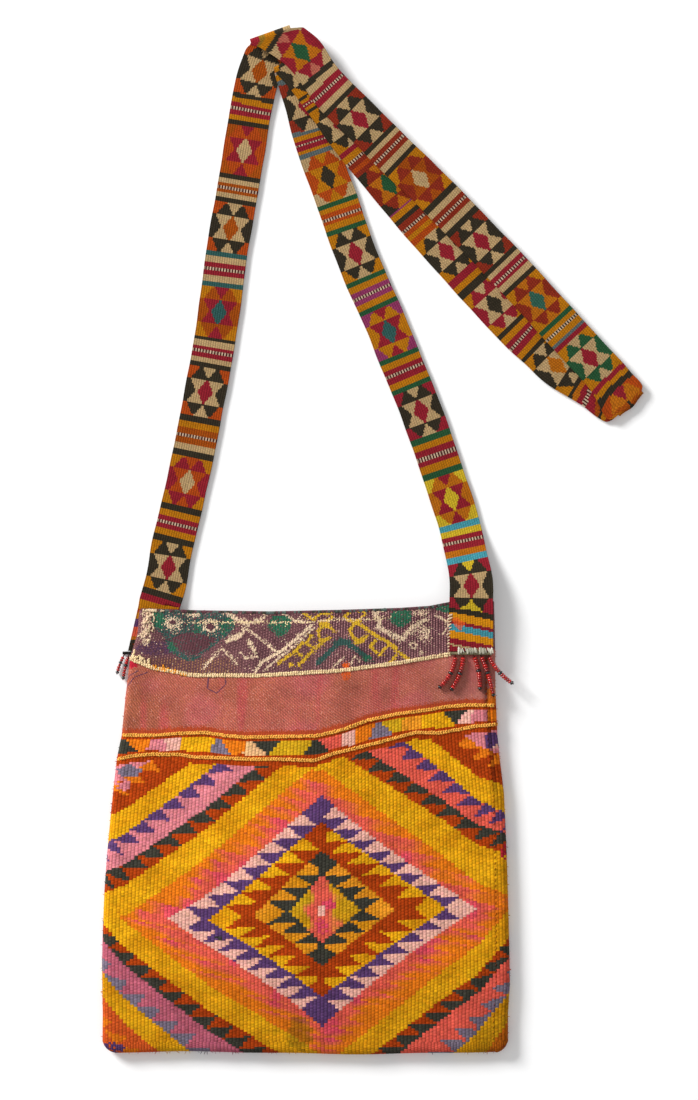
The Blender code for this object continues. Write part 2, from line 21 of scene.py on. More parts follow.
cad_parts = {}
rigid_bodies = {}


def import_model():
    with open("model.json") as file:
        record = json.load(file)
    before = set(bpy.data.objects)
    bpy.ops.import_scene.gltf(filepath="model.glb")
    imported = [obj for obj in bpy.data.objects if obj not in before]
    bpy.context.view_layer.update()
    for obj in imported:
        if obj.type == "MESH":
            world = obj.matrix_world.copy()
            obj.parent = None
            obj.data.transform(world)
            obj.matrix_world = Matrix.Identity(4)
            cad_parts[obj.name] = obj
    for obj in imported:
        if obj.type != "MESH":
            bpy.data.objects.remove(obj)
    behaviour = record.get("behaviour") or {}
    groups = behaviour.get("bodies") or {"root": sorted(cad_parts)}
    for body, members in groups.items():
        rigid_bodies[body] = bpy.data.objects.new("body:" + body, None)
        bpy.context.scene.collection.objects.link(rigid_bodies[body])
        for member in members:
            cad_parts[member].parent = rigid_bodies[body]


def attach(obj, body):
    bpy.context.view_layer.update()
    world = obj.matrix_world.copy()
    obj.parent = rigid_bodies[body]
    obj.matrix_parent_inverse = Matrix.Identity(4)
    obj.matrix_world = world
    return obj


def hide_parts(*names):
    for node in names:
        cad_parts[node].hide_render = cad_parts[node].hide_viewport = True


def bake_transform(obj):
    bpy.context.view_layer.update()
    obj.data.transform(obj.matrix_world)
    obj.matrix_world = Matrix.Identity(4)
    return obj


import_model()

LOG = logging.getLogger("betel_nut_bag")
Array = np.ndarray
Value = Array | float
Random = np.random.Generator
Material, Mesh, Node, Piece = bpy.types.Material, bpy.types.Mesh, bpy.types.Node, bpy.types.Object
Mark = tuple[float, float]
Line = Callable[[Array], Array]  # gives a line's y at each x
SIDES = ((-1, "left"), (1, "right"))


# The photograph's frame

PIXEL = 0.00055  # metres that one pixel of the photograph covers on the bag
ORIGIN_PX, ORIGIN_PY = 304.0, 830.0  # the pixel over the model's origin
PHOTO_WIDTH, PHOTO_HEIGHT = 698, 1100


def to_x(px: Value) -> Value:
    """The model's x of a photograph column."""
    return (px - ORIGIN_PX) * PIXEL


def to_y(py: Value) -> Value:
    """The model's y of a photograph row."""
    return (ORIGIN_PY - py) * PIXEL


def to_px(x: Value) -> Value:
    """The photograph column of the model's x."""
    return ORIGIN_PX + x / PIXEL


def to_py(y: Value) -> Value:
    """The photograph row of the model's y."""
    return ORIGIN_PY - y / PIXEL


def line_through(*marks: Mark) -> Line:
    """A line across the bag, through pixel marks from left to right."""
    xs, ys = [to_x(px) for px, _ in marks], [to_y(py) for _, py in marks]
    return lambda x: np.interp(x, xs, ys)


def mix(a: Value, b: Value, share: Value) -> Value:
    """The value a share of the way from a to b."""
    return a + (b - a) * share


def ease(share: Value) -> Value:
    """A share that leaves 0 and reaches 1 smoothly."""
    share = np.clip(share, 0, 1)
    return share * share * (3 - 2 * share)


# Dyes

class Dye(Enum):
    """The bag's yarn colours, as sRGB hex."""

    GOLD = "#DC9E12"
    DEEP_GOLD = "#C27E0A"
    OLIVE_GOLD = "#C29618"
    OLIVE = "#A88A1C"
    RUST = "#A23A0C"
    DEEP_RUST = "#8C3410"
    ORANGE = "#D87014"
    AMBER = "#DA8A22"
    CORAL_ORANGE = "#CC5420"
    CORAL = "#D65646"
    PINK = "#CC767E"
    PALE_PINK = "#E0A696"
    MAGENTA_PINK = "#B45A6C"
    BRIGHT_PINK = "#D0445A"
    ROSE = "#AE5C50"
    CRIMSON = "#A82030"
    PURPLE = "#573A66"
    SLATE = "#746878"
    PLUM = "#5A393E"
    DEEP_PURPLE = "#46304E"
    GREEN_BLACK = "#38372F"
    BLOB_GREEN = "#2E6048"
    DARK_GREEN = "#34504A"
    GREY_TEAL = "#4E5A54"
    PEACH = "#DCAA78"
    LIGHT_CREAM = "#E2C698"
    EMBROIDERY = "#C89E2A"
    WHITE = "#D8BC9C"
    ROPE_GOLD = "#E4A448"
    ROSE_BROWN = "#94543A"
    ROSE_PINK = "#B85C5E"
    ROSE_STREAK = "#B64A4E"
    FADED_ROSE = "#B88078"
    GOLD_FLECK = "#B4683E"
    PALE_FLECK = "#D08E80"
    FADED_PLUM = "#684447"
    PINK_DOT = "#AE7C7C"
    GOLD_DOT = "#C08C5C"


class Band(Enum):
    """The strap's yarn colours, older and browner than the bag's, as sRGB hex."""

    CREAM = "#A2865E"
    BLACK = "#2D271D"
    CRIMSON = "#7E1C26"
    MAROON = "#782616"
    CORAL_ORANGE = "#983C10"
    BURNT_ORANGE = "#8C400C"
    ORANGE = "#A05A10"
    GOLD = "#C07C10"
    MUSTARD = "#A0630C"
    YELLOW = "#B49822"
    OLIVE = "#7A5A18"
    SALMON = "#9E5444"
    ORCHID = "#7C2E52"
    GREEN = "#22482C"
    SEA_GREEN = "#2C5446"
    TEAL = "#2A4E4A"
    TURQUOISE = "#3C8490"
    SLATE = "#4E5858"
    PURPLE = "#543458"
    CORAL = "#BC4C36"
    BAR = "#B09880"
    BAR_GROUND = "#3C1414"


def linear(code: str) -> Array:
    """Turns an sRGB hex colour, "#RRGGBB", to its three linear parts."""
    parts = np.array([int(code[i:i + 2], 16) for i in (1, 3, 5)]) / 255
    return np.where(parts <= 0.04045, parts / 12.92, ((parts + 0.055) / 1.055) ** 2.4)


def dyed(dye: Dye | Band) -> Array:
    """A dye's linear colour."""
    return linear(dye.value)


def drift(px: Array, py: Array, size: float, turn: float) -> Array:
    """A slow, aimless change over the cloth, as hand-dyed yarn has: four crossing waves.

    Args:
        px, py: the cells' pixels.
        size: the size of its patches, in pixels.
        turn: picks one of many such changes.

    Returns:
        A value for each cell, mostly from -1 to 1.
    """
    total = np.zeros(np.shape(px))
    for step in range(4):
        angle = turn + 2.4 * step
        across = (px * np.cos(angle) + py * np.sin(angle)) / size
        total += np.sin(across * (1 + 0.37 * step) + 1.7 * step + 1.3 * np.sin(py / size / 2 + step))
    return total / 2.2


def painted(found: Array, where: Array, colour: Array | Dye, share: float = 1.0) -> Array:
    """Gives some cells another yarn.

    Args:
        found: the colours so far.
        where: which cells change.
        colour: a dye, or linear colours.
        share: how much of it they take.

    Returns:
        The colours.
    """
    colour = dyed(colour) if isinstance(colour, Dye) else colour
    return np.where(where[..., None], colour if share == 1 else mix(found, colour, share), found)


def tinted(colours: Array, random: Random, spread: float = 0.09) -> Array:
    """Varies each cell as hand-dyed yarn varies.

    Args:
        colours: a linear colour for each cell.
        random: the seeded generator.
        spread: how much the brightness varies.

    Returns:
        The varied colours.
    """
    light = random.normal(1, spread, colours.shape[:-1])[..., None]
    hue = random.normal(1, spread / 4, colours.shape)
    return np.clip(colours * light * hue, 0.002, 1)


def yarns(colour: Array | Dye, count: int, random: Random, spread: float = 0.09) -> Array:
    """The varied colours of a number of stitches in one yarn."""
    colour = dyed(colour) if isinstance(colour, Dye) else colour
    return tinted(np.tile(colour, (count, 1)), random, spread)


def seeded(seed: int) -> Random:
    """A field with its own random generator."""
    return field(default_factory=lambda: np.random.default_rng(seed))


# Finishes

def feed(node: Node, links: dict) -> None:
    """Feeds a node's sockets, each from an output socket or from another node's first output."""
    for key, source in links.items():
        node.id_data.links.new(source.outputs[0] if isinstance(source, Node) else source, node.inputs[key])


def add_node(tree: bpy.types.NodeTree, kind: str, settings: dict, links: dict | None = None) -> Node:
    """Adds one node.

    Args:
        tree: the material's node tree.
        kind: the node's type, after its prefix.
        settings: properties by name, and constants by socket name or number.
        links: what feeds each input socket.

    Returns:
        The node.
    """
    node = tree.nodes.new("ShaderNode" + kind)
    for key, value in settings.items():
        if isinstance(key, str) and hasattr(node, key):
            setattr(node, key, value)
        else:
            node.inputs[key].default_value = value
    feed(node, links or {})
    return node


def new_material(name: str, constants: dict) -> tuple[Material, Callable[..., Node], Node]:
    """An empty material with its Principled shader.

    Args:
        name: the material's name.
        constants: the shader's plain values, by socket.

    Returns:
        The material, the call that adds a node to it, and the shader node.
    """
    material = bpy.data.materials.new(name)
    material.use_nodes = True
    shader = material.node_tree.nodes["Principled BSDF"]
    for socket, value in constants.items():
        shader.inputs[socket].default_value = value
    return material, partial(add_node, material.node_tree), shader


MOST_NOISE = {"From Min": 0.3, "From Max": 0.7}  # where most values of a noise lie
WAVE = pi / 10  # a wave texture's own wavelength, at a scale of 1


@dataclass(frozen=True)
class WovenCotton:
    """Hand-woven yarn. The eye sees matt, rounded ribs pebbled by the picks, with painted shade in the
    valleys and a painted highlight on the rib tops.
    """

    name: str
    relief: float = 0.0004  # depth of the valleys between the ribs
    valley: float = 0.62  # how bright the bottom of a valley stays: painted shade
    crown: float = 1.08  # how bright the top of a rib is: painted highlight
    pebble: float = 0.40  # how much of a rib's height its picks take
    mottle_mm: float = 9.0  # size of the faded patches
    mottle: float = 0.12
    fibre_mm: float = 0.5
    fuzz: float = 0.10
    slant: float = 0.0  # how far the picks lean along a rib
    roughness: float = 0.92
    sheen: float = 0.06
    hair: float = 0.25  # how much the fibres stand out beside the ribs

    def material(self) -> Material:
        """Builds the finish from the cells' yarn colours and thread numbers.

        Returns:
            The material.
        """
        material, node, shader = new_material(
            self.name, {"Roughness": self.roughness, "Specular IOR Level": self.sheen})
        yarn = node("Attribute", {"attribute_name": "Yarn"})
        threads = node("Attribute", {"attribute_name": "Threads"}).outputs["Vector"]
        across, up = node("SeparateXYZ", {}, {0: threads}).outputs[:2]
        rib = self.wave(node, across)
        whole = node("Math", {"operation": "FLOOR"}, {0: across})
        step = node("Math", {"operation": "MULTIPLY_ADD", 1: 0.5 + self.slant}, {0: whole, 2: up})
        pick = self.wave(node, step)
        pebbled = node("Math", {"operation": "MULTIPLY_ADD", 1: self.pebble, 2: 1 - self.pebble}, {0: pick})
        height = node("Math", {"operation": "MULTIPLY"}, {0: rib, 1: pebbled})
        place = node("TexCoord", {}).outputs["Object"]
        fibre = node("TexNoise", {"Scale": 1000 / self.fibre_mm, "Detail": 2.0}, {"Vector": place})
        patch = node("TexNoise", {"Scale": 1000 / self.mottle_mm, "Detail": 3.0}, {"Vector": place})
        # painted shade and highlight: the yarn colour is darkened in the valleys and lightened on the rib
        # tops
        shade = node("MapRange", {"From Min": 0.0, "From Max": 0.75, "To Min": self.valley,
                                  "To Max": self.crown}, {"Value": height})
        worn = node("MapRange", {**MOST_NOISE, "To Min": 1 - self.mottle, "To Max": 1 + self.mottle},
                    {"Value": patch})
        hairy = node("MapRange", {**MOST_NOISE, "To Min": 1 - self.fuzz, "To Max": 1 + self.fuzz},
                     {"Value": fibre})
        both = node("Math", {"operation": "MULTIPLY"}, {0: shade, 1: worn})
        light = node("Math", {"operation": "MULTIPLY"}, {0: both, 1: hairy})
        colour = node("VectorMath", {"operation": "SCALE"}, {0: yarn, "Scale": light})
        raised = node("Math", {"operation": "MULTIPLY_ADD", 1: self.hair}, {0: fibre, 2: height})
        bump = node("Bump", {"Strength": 0.8, "Distance": self.relief}, {"Height": raised})
        feed(shader, {"Base Color": colour, "Normal": bump})
        return material

    def wave(self, node: Callable[..., Node], count: Node | bpy.types.NodeSocket) -> Node:
        """A rounded ridge for each whole number of a thread count.

        Args:
            node: adds a node.
            count: the thread count.

        Returns:
            The node that gives the ridge's height, from 0 to 1.
        """
        turn = node("Math", {"operation": "MULTIPLY", 1: pi}, {0: count})
        swing = node("Math", {"operation": "SINE"}, {0: turn})
        size = node("Math", {"operation": "ABSOLUTE"}, {0: swing})
        return node("Math", {"operation": "POWER", 1: 0.6}, {0: size})


@dataclass(frozen=True)
class SpunYarn:
    """Loose cotton sewing yarn. Matt and fuzzy, with a faint ply; it takes its piece's colours."""

    name: str
    ply_mm: float = 0.5
    coarser: float = 1.885  # the ply is drawn this many times its size, because it is too fine to show
    ply_lean: float = 38.0
    relief: float = 0.0002
    fuzz_mm: float = 10 / 9

    def material(self) -> Material:
        """Builds the finish.

        Returns:
            The material.
        """
        material, node, shader = new_material(self.name, {"Roughness": 0.88, "Specular IOR Level": 0.08})
        yarn = node("Attribute", {"attribute_name": "Yarn"})
        place = node("TexCoord", {}).outputs["Object"]
        turned = node("Mapping", {"Rotation": (0, 0, radians(self.ply_lean))}, {"Vector": place})
        ply = node("TexWave", {"Scale": 1000 * WAVE / (self.ply_mm * self.coarser), "Distortion": 1.5,
                               "Detail": 1.0}, {"Vector": turned})
        fuzz = node("TexNoise", {"Scale": 1000 / self.fuzz_mm, "Detail": 2.0}, {"Vector": place})
        shade = node("MapRange", {"From Min": 0.25, "From Max": 0.75, "To Min": 0.84, "To Max": 1.1},
                     {"Value": fuzz})
        colour = node("VectorMath", {"operation": "SCALE"}, {0: yarn, "Scale": shade})
        bump = node("Bump", {"Strength": 0.6, "Distance": self.relief}, {"Height": ply.outputs["Fac"]})
        feed(shader, {"Base Color": colour, "Normal": bump})
        return material


@dataclass(frozen=True)
class SeedGlass:
    """Drawn and tumbled seed-bead glass. Glossy, with a soft depth and a pale core at the bore."""

    name: str
    roughness: float = 0.12
    cloud_mm: float = 10 / 7

    def material(self) -> Material:
        """Builds the finish from the beads' own colours.

        Returns:
            The material.
        """
        material, node, shader = new_material(self.name, {
            "Roughness": self.roughness, "IOR": 1.52, "Coat Weight": 0.4, "Coat Roughness": 0.06})
        glass = node("Attribute", {"attribute_name": "Yarn"})
        place = node("TexCoord", {}).outputs["Object"]
        cloud = node("TexNoise", {"Scale": 1000 / self.cloud_mm}, {"Vector": place})
        shade = node("MapRange", {"To Min": 0.75, "To Max": 1.25}, {"Value": cloud})
        feed(shader, {"Base Color": node("VectorMath", {"operation": "SCALE"}, {0: glass, "Scale": shade})})
        return material


@dataclass(frozen=True)
class PaperSweep:
    """A matt white studio sweep. White to the camera, and it keeps the object's soft shadow."""

    name: str = "studio_sweep_paper"
    tone: str = "#FCFCFC"
    own_light: float = 0.08  # how much of its white doesn't depend on the lamps

    def material(self) -> Material:
        """Builds the finish.

        Returns:
            The material.
        """
        material, node, shader = new_material(self.name, {
            "Base Color": (*linear(self.tone), 1), "Roughness": 1.0, "Specular IOR Level": 0.0})
        white = node("Emission", {"Color": (1, 1, 1, 1), "Strength": 1.0})
        seen = node("Math", {"operation": "MULTIPLY", 1: self.own_light},
                    {0: node("LightPath", {}).outputs["Is Camera Ray"]})
        blend = node("MixShader", {}, {0: seen, 1: shader, 2: white})
        feed(material.node_tree.nodes["Material Output"], {"Surface": blend})
        return material


# Making meshes

BORE_REACH = 0.00062  # faces nearer the axis of a bead than this belong to its bore


def mesh_of(name: str, bm: bmesh.types.BMesh) -> Mesh:
    """Turns a bmesh to a mesh.

    Args:
        name: the mesh's name.
        bm: the bmesh, which is freed.

    Returns:
        The mesh.
    """
    mesh = bpy.data.meshes.new(name)
    bm.to_mesh(mesh)
    bm.free()
    return mesh


def filed(name: str, mesh: Mesh, finish: Material) -> Piece:
    """Names a mesh, dresses it and links it.

    Args:
        name: the piece's name.
        mesh: its mesh.
        finish: its material.

    Returns:
        The piece.
    """
    mesh.name = name
    mesh.shade_smooth()
    mesh.materials.append(finish)
    piece = bpy.data.objects.new(name, mesh)
    bpy.context.scene.collection.objects.link(piece)
    return piece


def dye_faces(mesh: Mesh, colours: Array) -> None:
    """Stores one colour for each face in the corner attribute Yarn.

    Args:
        mesh: the mesh.
        colours: one linear colour for each face.
    """
    counts = np.empty(len(mesh.polygons), np.int32)
    mesh.polygons.foreach_get("loop_total", counts)
    corners = np.ones((len(mesh.loops), 4), np.float32)
    corners[:, :3] = np.repeat(colours, counts, axis=0)
    mesh.attributes.new("Yarn", "FLOAT_COLOR", "CORNER").data.foreach_set("color", corners.ravel())


def woven_grid(name: str, points: Array, colours: Array, finish: Material, thickness: float,
               threads: Array | None = None, offset: float = -1) -> Piece:
    """A cloth laid out as a grid of cells, one for each rib and pick.

    Args:
        name: the piece's name.
        points: the grid's corners, as rows x columns x 3.
        colours: a linear colour for each cell.
        finish: the cloth's material.
        thickness: the cloth's thickness.
        threads: the rib and pick number at each corner.
        offset: which way the thickness grows from the grid.

    Returns:
        The piece.
    """
    rows, columns = points.shape[0] - 1, points.shape[1] - 1
    bm = bmesh.new()
    bmesh.ops.create_grid(bm, x_segments=columns, y_segments=rows, size=0.5)
    for edge in bm.edges:
        edge.smooth = not edge.is_boundary  # a cut edge doesn't shade the cloth beside it
    mesh = mesh_of(name, bm)
    flat = np.empty(len(mesh.vertices) * 3, np.float32)
    mesh.vertices.foreach_get("co", flat)
    flat = flat.reshape(-1, 3)
    column = np.rint((flat[:, 0] + 0.5) * columns).astype(int)
    row = np.rint((flat[:, 1] + 0.5) * rows).astype(int)
    mesh.vertices.foreach_set("co", points[row, column].astype(np.float32).ravel())
    corner = np.empty(len(mesh.loops), np.int32)
    mesh.loops.foreach_get("vertex_index", corner)
    corner = corner.reshape(-1, 4)
    dye_faces(mesh, colours[row[corner].min(axis=1), column[corner].min(axis=1)])
    if threads is None:
        threads = np.stack(np.meshgrid(np.arange(columns + 1), np.arange(rows + 1)), axis=-1)
    counts = np.zeros((len(mesh.vertices), 3), np.float32)
    counts[:, :2] = threads[row, column]
    mesh.attributes.new("Threads", "FLOAT_VECTOR", "POINT").data.foreach_set("vector", counts.ravel())
    piece = filed(name, mesh, finish)
    shell = piece.modifiers.new("Thickness", "SOLIDIFY")
    shell.thickness, shell.offset = thickness, offset
    return piece


def repeated(shape: bmesh.types.BMesh, placings: Sequence[Matrix], colours: Array,
             bore: Array | None = None) -> Mesh:
    """Copies one small closed shape to many places, as one mesh.

    Args:
        shape: the shape, round its own origin.
        placings: where each copy goes.
        colours: a linear colour for each copy.
        bore: a colour for the faces near the shape's axis, if they differ.

    Returns:
        The mesh.
    """
    near = [abs(f.normal.z) < 0.6 and f.calc_center_median().xy.length < BORE_REACH for f in shape.faces]
    seed = mesh_of("seed", shape)
    bm = bmesh.new()
    for placing in placings:
        first = len(bm.verts)
        bm.from_mesh(seed)
        bm.verts.ensure_lookup_table()
        bmesh.ops.transform(bm, matrix=placing, verts=bm.verts[first:])
    mesh = mesh_of("copies", bm)
    faces = np.repeat(np.asarray(colours, float), len(seed.polygons), axis=0)
    if bore is not None:
        faces[np.tile(near, len(placings))] = bore
    dye_faces(mesh, faces)
    bpy.data.meshes.remove(seed)
    return mesh


def puffs(name: str, places: Array, ways: Array, sizes: Array, colours: Array, finish: Material) -> Piece:
    """A row of plump stitches.

    Args:
        name: the piece's name.
        places: the middle of each stitch.
        ways: the direction that each stitch is long in.
        sizes: half length, half width and half height of each stitch.
        colours: a linear colour for each stitch.
        finish: the yarn's material.

    Returns:
        The piece.
    """
    placings = []
    for place, way, size in zip(places, ways, sizes):
        along = Vector(way).normalized()
        aside = Vector((0, 0, 1)).cross(along).normalized()
        turn = Matrix((along, aside, along.cross(aside))).transposed().to_4x4()
        placings.append(Matrix.Translation(Vector(place)) @ turn @ Matrix.Diagonal((*size, 1)))
    ball = bmesh.new()
    bmesh.ops.create_uvsphere(ball, u_segments=8, v_segments=5, radius=1)
    return filed(name, repeated(ball, placings, colours), finish)


def round_cord(name: str, points: Array, radius: Value, colours: Array, finish: Material,
               sides: int = 8) -> Piece:
    """A closed round cord along points.

    Args:
        name: the piece's name.
        points: the cord's middle line.
        radius: its radius, or one for each point.
        colours: a linear colour for each stretch between two points.
        finish: the yarn's material.
        sides: how many faces go round it.

    Returns:
        The piece.
    """
    points = np.asarray(points, float)
    bm = bmesh.new()
    rings = []
    for point, way, reach in zip(points, np.gradient(points, axis=0), np.broadcast_to(radius, len(points))):
        turn = Vector(way).to_track_quat("Z", "Y").to_matrix().to_4x4()
        ring = bmesh.ops.create_circle(bm, cap_ends=False, segments=sides, radius=float(reach),
                                       matrix=Matrix.Translation(Vector(point)) @ turn)
        rings.append(ring["verts"])
    for ring, following in zip(rings, rings[1:]):
        for index in range(sides):
            after = (index + 1) % sides
            bm.faces.new((ring[index], ring[after], following[after], following[index]))
    for ring in (rings[0], rings[-1]):
        bm.faces.new(ring)
    bmesh.ops.recalc_face_normals(bm, faces=bm.faces)
    mesh = mesh_of(name, bm)
    faces = np.repeat(np.asarray(colours, float), sides, axis=0)
    dye_faces(mesh, np.vstack([faces, colours[:1], colours[-1:]]))
    return filed(name, mesh, finish)


# The bag's form, the same as the solids'

@dataclass(frozen=True)
class BagForm:
    """The flattened tube of cloth, with the sizes of the CAD model."""

    mouth_width: float = 0.195
    base_width: float = 0.224
    height: float = 0.2453
    mouth_shift: float = 0.0077
    base_shift: float = 0.0011
    cloth: float = 0.0015
    edge_height: float = 0.0068
    belly_rise: float = 0.0075
    mouth_rise: float = 0.0050
    corner_radius: float = 0.0080
    back_lip: float = 0.012
    strap_width: float = 0.0228
    strap_thickness: float = 0.0015
    clear_of_mouth: float = 0.0015
    tab_length: float = 0.0257
    whip_reach_left: float = 0.0060
    whip_overhang: float = 0.0030
    whip_radius: float = 0.0009
    tab_inset_right: float = 0.0020
    tab_overhang_left: float = 0.0012
    lift_fade: float = 0.012
    clearance: float = 0.0003
    wrinkle_fade: float = 0.012
    # The waves of the worn cloth: how high, how large in pixels, and which
    wrinkles: tuple[tuple[float, float, float], ...] = ((0.00016, 7.5, 0.9), (0.00026, 17, 2.2))
    # How far the worn side edges wander from a straight run: y, and the offset there
    left_wander: tuple[Mark, ...] = (
        (-0.1012, 0.0), (-0.0726, -0.0011), (-0.0341, -0.0017), (0.0055, -0.0015), (0.0402, -0.0012),
        (0.0522, -0.0001), (0.0753, -0.0008), (0.0951, -0.0012), (0.1078, 0.0007), (0.1210, -0.0004),
    )
    right_wander: tuple[Mark, ...] = (
        (-0.1012, -0.0008), (-0.0841, 0.0004), (-0.0143, 0.0), (0.0203, -0.0004), (0.0374, -0.0018),
        (0.0528, -0.0027), (0.0786, -0.0025), (0.0990, -0.0015), (0.1210, -0.0006),
    )

    @property
    def base_y(self) -> float:
        """The bag's bottom edge."""
        return -self.height / 2

    @property
    def mouth_y(self) -> float:
        """The bag's mouth."""
        return self.height / 2

    @property
    def edge_radius(self) -> float:
        """The round of the folded edges."""
        return self.edge_height / 2

    @property
    def hinge_y(self) -> float:
        """Where the strap leaves its sewn ends."""
        return self.mouth_y + self.clear_of_mouth

    @property
    def whip_y(self) -> float:
        """The middle of both whippings."""
        return self.hinge_y - self.tab_length - self.clearance - self.whip_radius

    @property
    def left_whip_x(self) -> float:
        """The left end of the left whipping."""
        return float(self.plain_edge(-1, self.whip_y)) - self.whip_reach_left

    @property
    def wall_foot_y(self) -> float:
        """Where the front's moving middle begins, above the bottom edge."""
        round_off = sqrt(self.edge_radius**2 - (self.edge_radius - self.cloth) ** 2)
        return self.base_y + self.edge_radius + round_off + self.clearance

    def up_share(self, y: Array) -> Array:
        """How far up the bag a place lies, from 0 to 1."""
        return np.clip((y - self.base_y) / self.height, 0, 1)

    def plain_edge(self, side: int, y: Array) -> Array:
        """The folded edge without its wander."""
        width = mix(self.base_width, self.mouth_width, self.up_share(y) ** 2)
        return self.middle(y) + side * width / 2

    def edge(self, side: int, y: Array) -> Array:
        """The folded edge on the left (-1) or right (1)."""
        marks = np.array(self.left_wander if side < 0 else self.right_wander)
        return self.plain_edge(side, y) + np.interp(y, marks[:, 0], marks[:, 1])

    def middle(self, y: Array) -> Array:
        """The rib in the middle of the front."""
        return mix(self.base_shift, self.mouth_shift, self.up_share(y) ** 2)

    def tab_centre(self, side: int) -> float:
        """The middle of a sewn strap end, where the strap leaves it."""
        inset = self.strap_width / 2 + (-self.tab_overhang_left if side < 0 else self.tab_inset_right)
        return float(self.plain_edge(side, self.mouth_y)) - side * inset

    def tab_seat(self) -> float:
        """The height on which the right strap end lies.

        Returns:
            The height.
        """
        inside = float(self.plain_edge(1, self.mouth_y)) - (self.tab_centre(1) - self.strap_width / 2)
        share = (inside - self.edge_radius) / (self.mouth_width / 2 - self.edge_radius)
        return self.edge_height + self.mouth_rise * float(ease(share))

    def hinge_height(self, x: Value) -> Value:
        """The height of the strap's hinge line over a place across the bag.

        Args:
            x: the places.

        Returns:
            The heights.
        """
        left, right = (self.tab_centre(side) - self.strap_width / 2 for side in (-1, 1))
        right_z = self.tab_seat() + self.clearance + self.strap_thickness / 2
        return mix(self.strap_thickness / 2, right_z, (x - left) / (right - left))

    def back_lift(self, x: Array, y: Array) -> Array:
        """How far the back rises over the left strap end, which lies beneath its corner.

        Args:
            x, y: the places.

        Returns:
            The rises.
        """
        inner_x = self.tab_centre(-1) + self.strap_width / 2 + self.clearance
        low_y = self.hinge_y - self.tab_length - 4 * self.whip_radius
        beside = ease((inner_x + self.lift_fade - x) / self.lift_fade)
        beside = beside * ease((y - low_y + self.lift_fade) / self.lift_fade)
        tilt = np.maximum(self.hinge_height(x) - self.strap_thickness / 2, 0)
        return (2 * self.whip_radius + self.clearance + tilt * ease((y - low_y) / self.tab_length)) * beside

    def front_height(self, x: Array, y: Array) -> Array:
        """The height of the front's outer face.

        Args:
            x, y: the places.

        Returns:
            The heights.
        """
        left, right = self.edge(-1, y), self.edge(1, y)
        inside = np.minimum(x - left, right - x)
        share = self.up_share(y)
        rise = self.mouth_rise * ease(2 * share) + (self.belly_rise - self.mouth_rise) * np.sin(pi * share)
        half = (right - left) / 2
        top = self.edge_height + rise * ease((inside - self.edge_radius) / (half - self.edge_radius))
        middle = (self.edge_height + self.back_lift(x, y)) / 2
        waves = self.wrinkle(x, y) * ease(inside / self.wrinkle_fade)
        return middle + (top - middle) * self.cap(inside) + waves

    def on_front(self, x: Array, y: Array, lift: float = 0.0) -> Array:
        """Points on the front's outer face, or a little over it."""
        return np.stack([x, y, self.front_height(x, y) + lift], axis=-1)

    def wrinkle(self, x: Array, y: Array) -> Array:
        """The slight waves of worn cloth."""
        return sum(high * drift(to_px(x), to_py(y), size, which) for high, size, which in self.wrinkles)

    def cap(self, inside: Array) -> Array:
        """How open the round of a folded edge is at a distance inside it."""
        return np.sqrt(1 - (1 - np.clip(inside / self.edge_radius, 0, 1)) ** 2)


# Lines across the front, from the mouth down

MOUTH_LINE = line_through(
    (100, 610), (139, 610), (200, 612), (270, 613), (340, 611.5), (400, 609.5), (430, 607.5), (450, 603.5),
    (505, 602))
CORD_LINE = line_through(
    (100, 652), (129, 658), (154, 668), (194, 675), (261, 675), (341, 670), (395, 663), (451, 654),
    (510, 646))
UPPER_ROPE = line_through(
    (100, 735), (155, 735), (180, 733), (205, 732), (225, 735), (245, 736.5), (316, 735), (330, 732),
    (345, 728), (368, 719.5), (385, 716), (400, 713), (425, 710), (445, 706.5), (465, 705), (510, 705))
LOWER_ROPE = line_through(
    (100, 762), (118, 759), (130, 756), (150, 754), (180, 754), (195, 756.5), (220, 757), (250, 758.5),
    (275, 758), (315, 759.5), (335, 752), (345, 750), (365, 745), (385, 740), (400, 736), (415, 732),
    (440, 732.5), (460, 729), (475, 726), (510, 723))


def bends(piece: Piece) -> None:
    """Bakes a piece's placement into its mesh."""
    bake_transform(piece)


def fixed(piece: Piece, *nodes: str) -> None:
    """Lets a piece ride on the bag's fixed side, in place of the CAD nodes that it stands for."""
    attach(piece, "bag")
    if nodes:
        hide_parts(*nodes)


# Woven figures

@dataclass(frozen=True)
class Ring:
    """One zone of the nested lozenges, inside a line |dx| / a + |dy| / b = 1 in each quarter.

    The quarters are upper left, upper right, lower left and lower right.
    """

    name: str
    across: tuple[float, ...]  # the line's reach sideways in each quarter, in pixels
    up: tuple[float, ...]  # its reach up or down
    inner: tuple[Dye, ...]
    outer: tuple[Dye, ...] = ()  # the colours of the teeth along the line, if it has any
    tooth: float = 27.0  # the teeth's base, in pixels
    bow: float = 0.0  # how far the line bows inwards, as a share of its reach
    rows: tuple[float, ...] = (12.2, 11.5, 10.9, 11.2)  # the teeth's heights in pixels


@dataclass(frozen=True)
class Blob:
    """An oval of one yarn, by pixels."""

    dye: Dye
    px: float
    py: float
    wide: float
    high: float
    share: float = 1.0  # how many of its cells take the yarn

    def inside(self, px: Array, py: Array, ragged: Value = 0) -> Array:
        """Which cells the oval covers."""
        return np.hypot((px - self.px) / self.wide, (py - self.py) / self.high) + ragged < 1


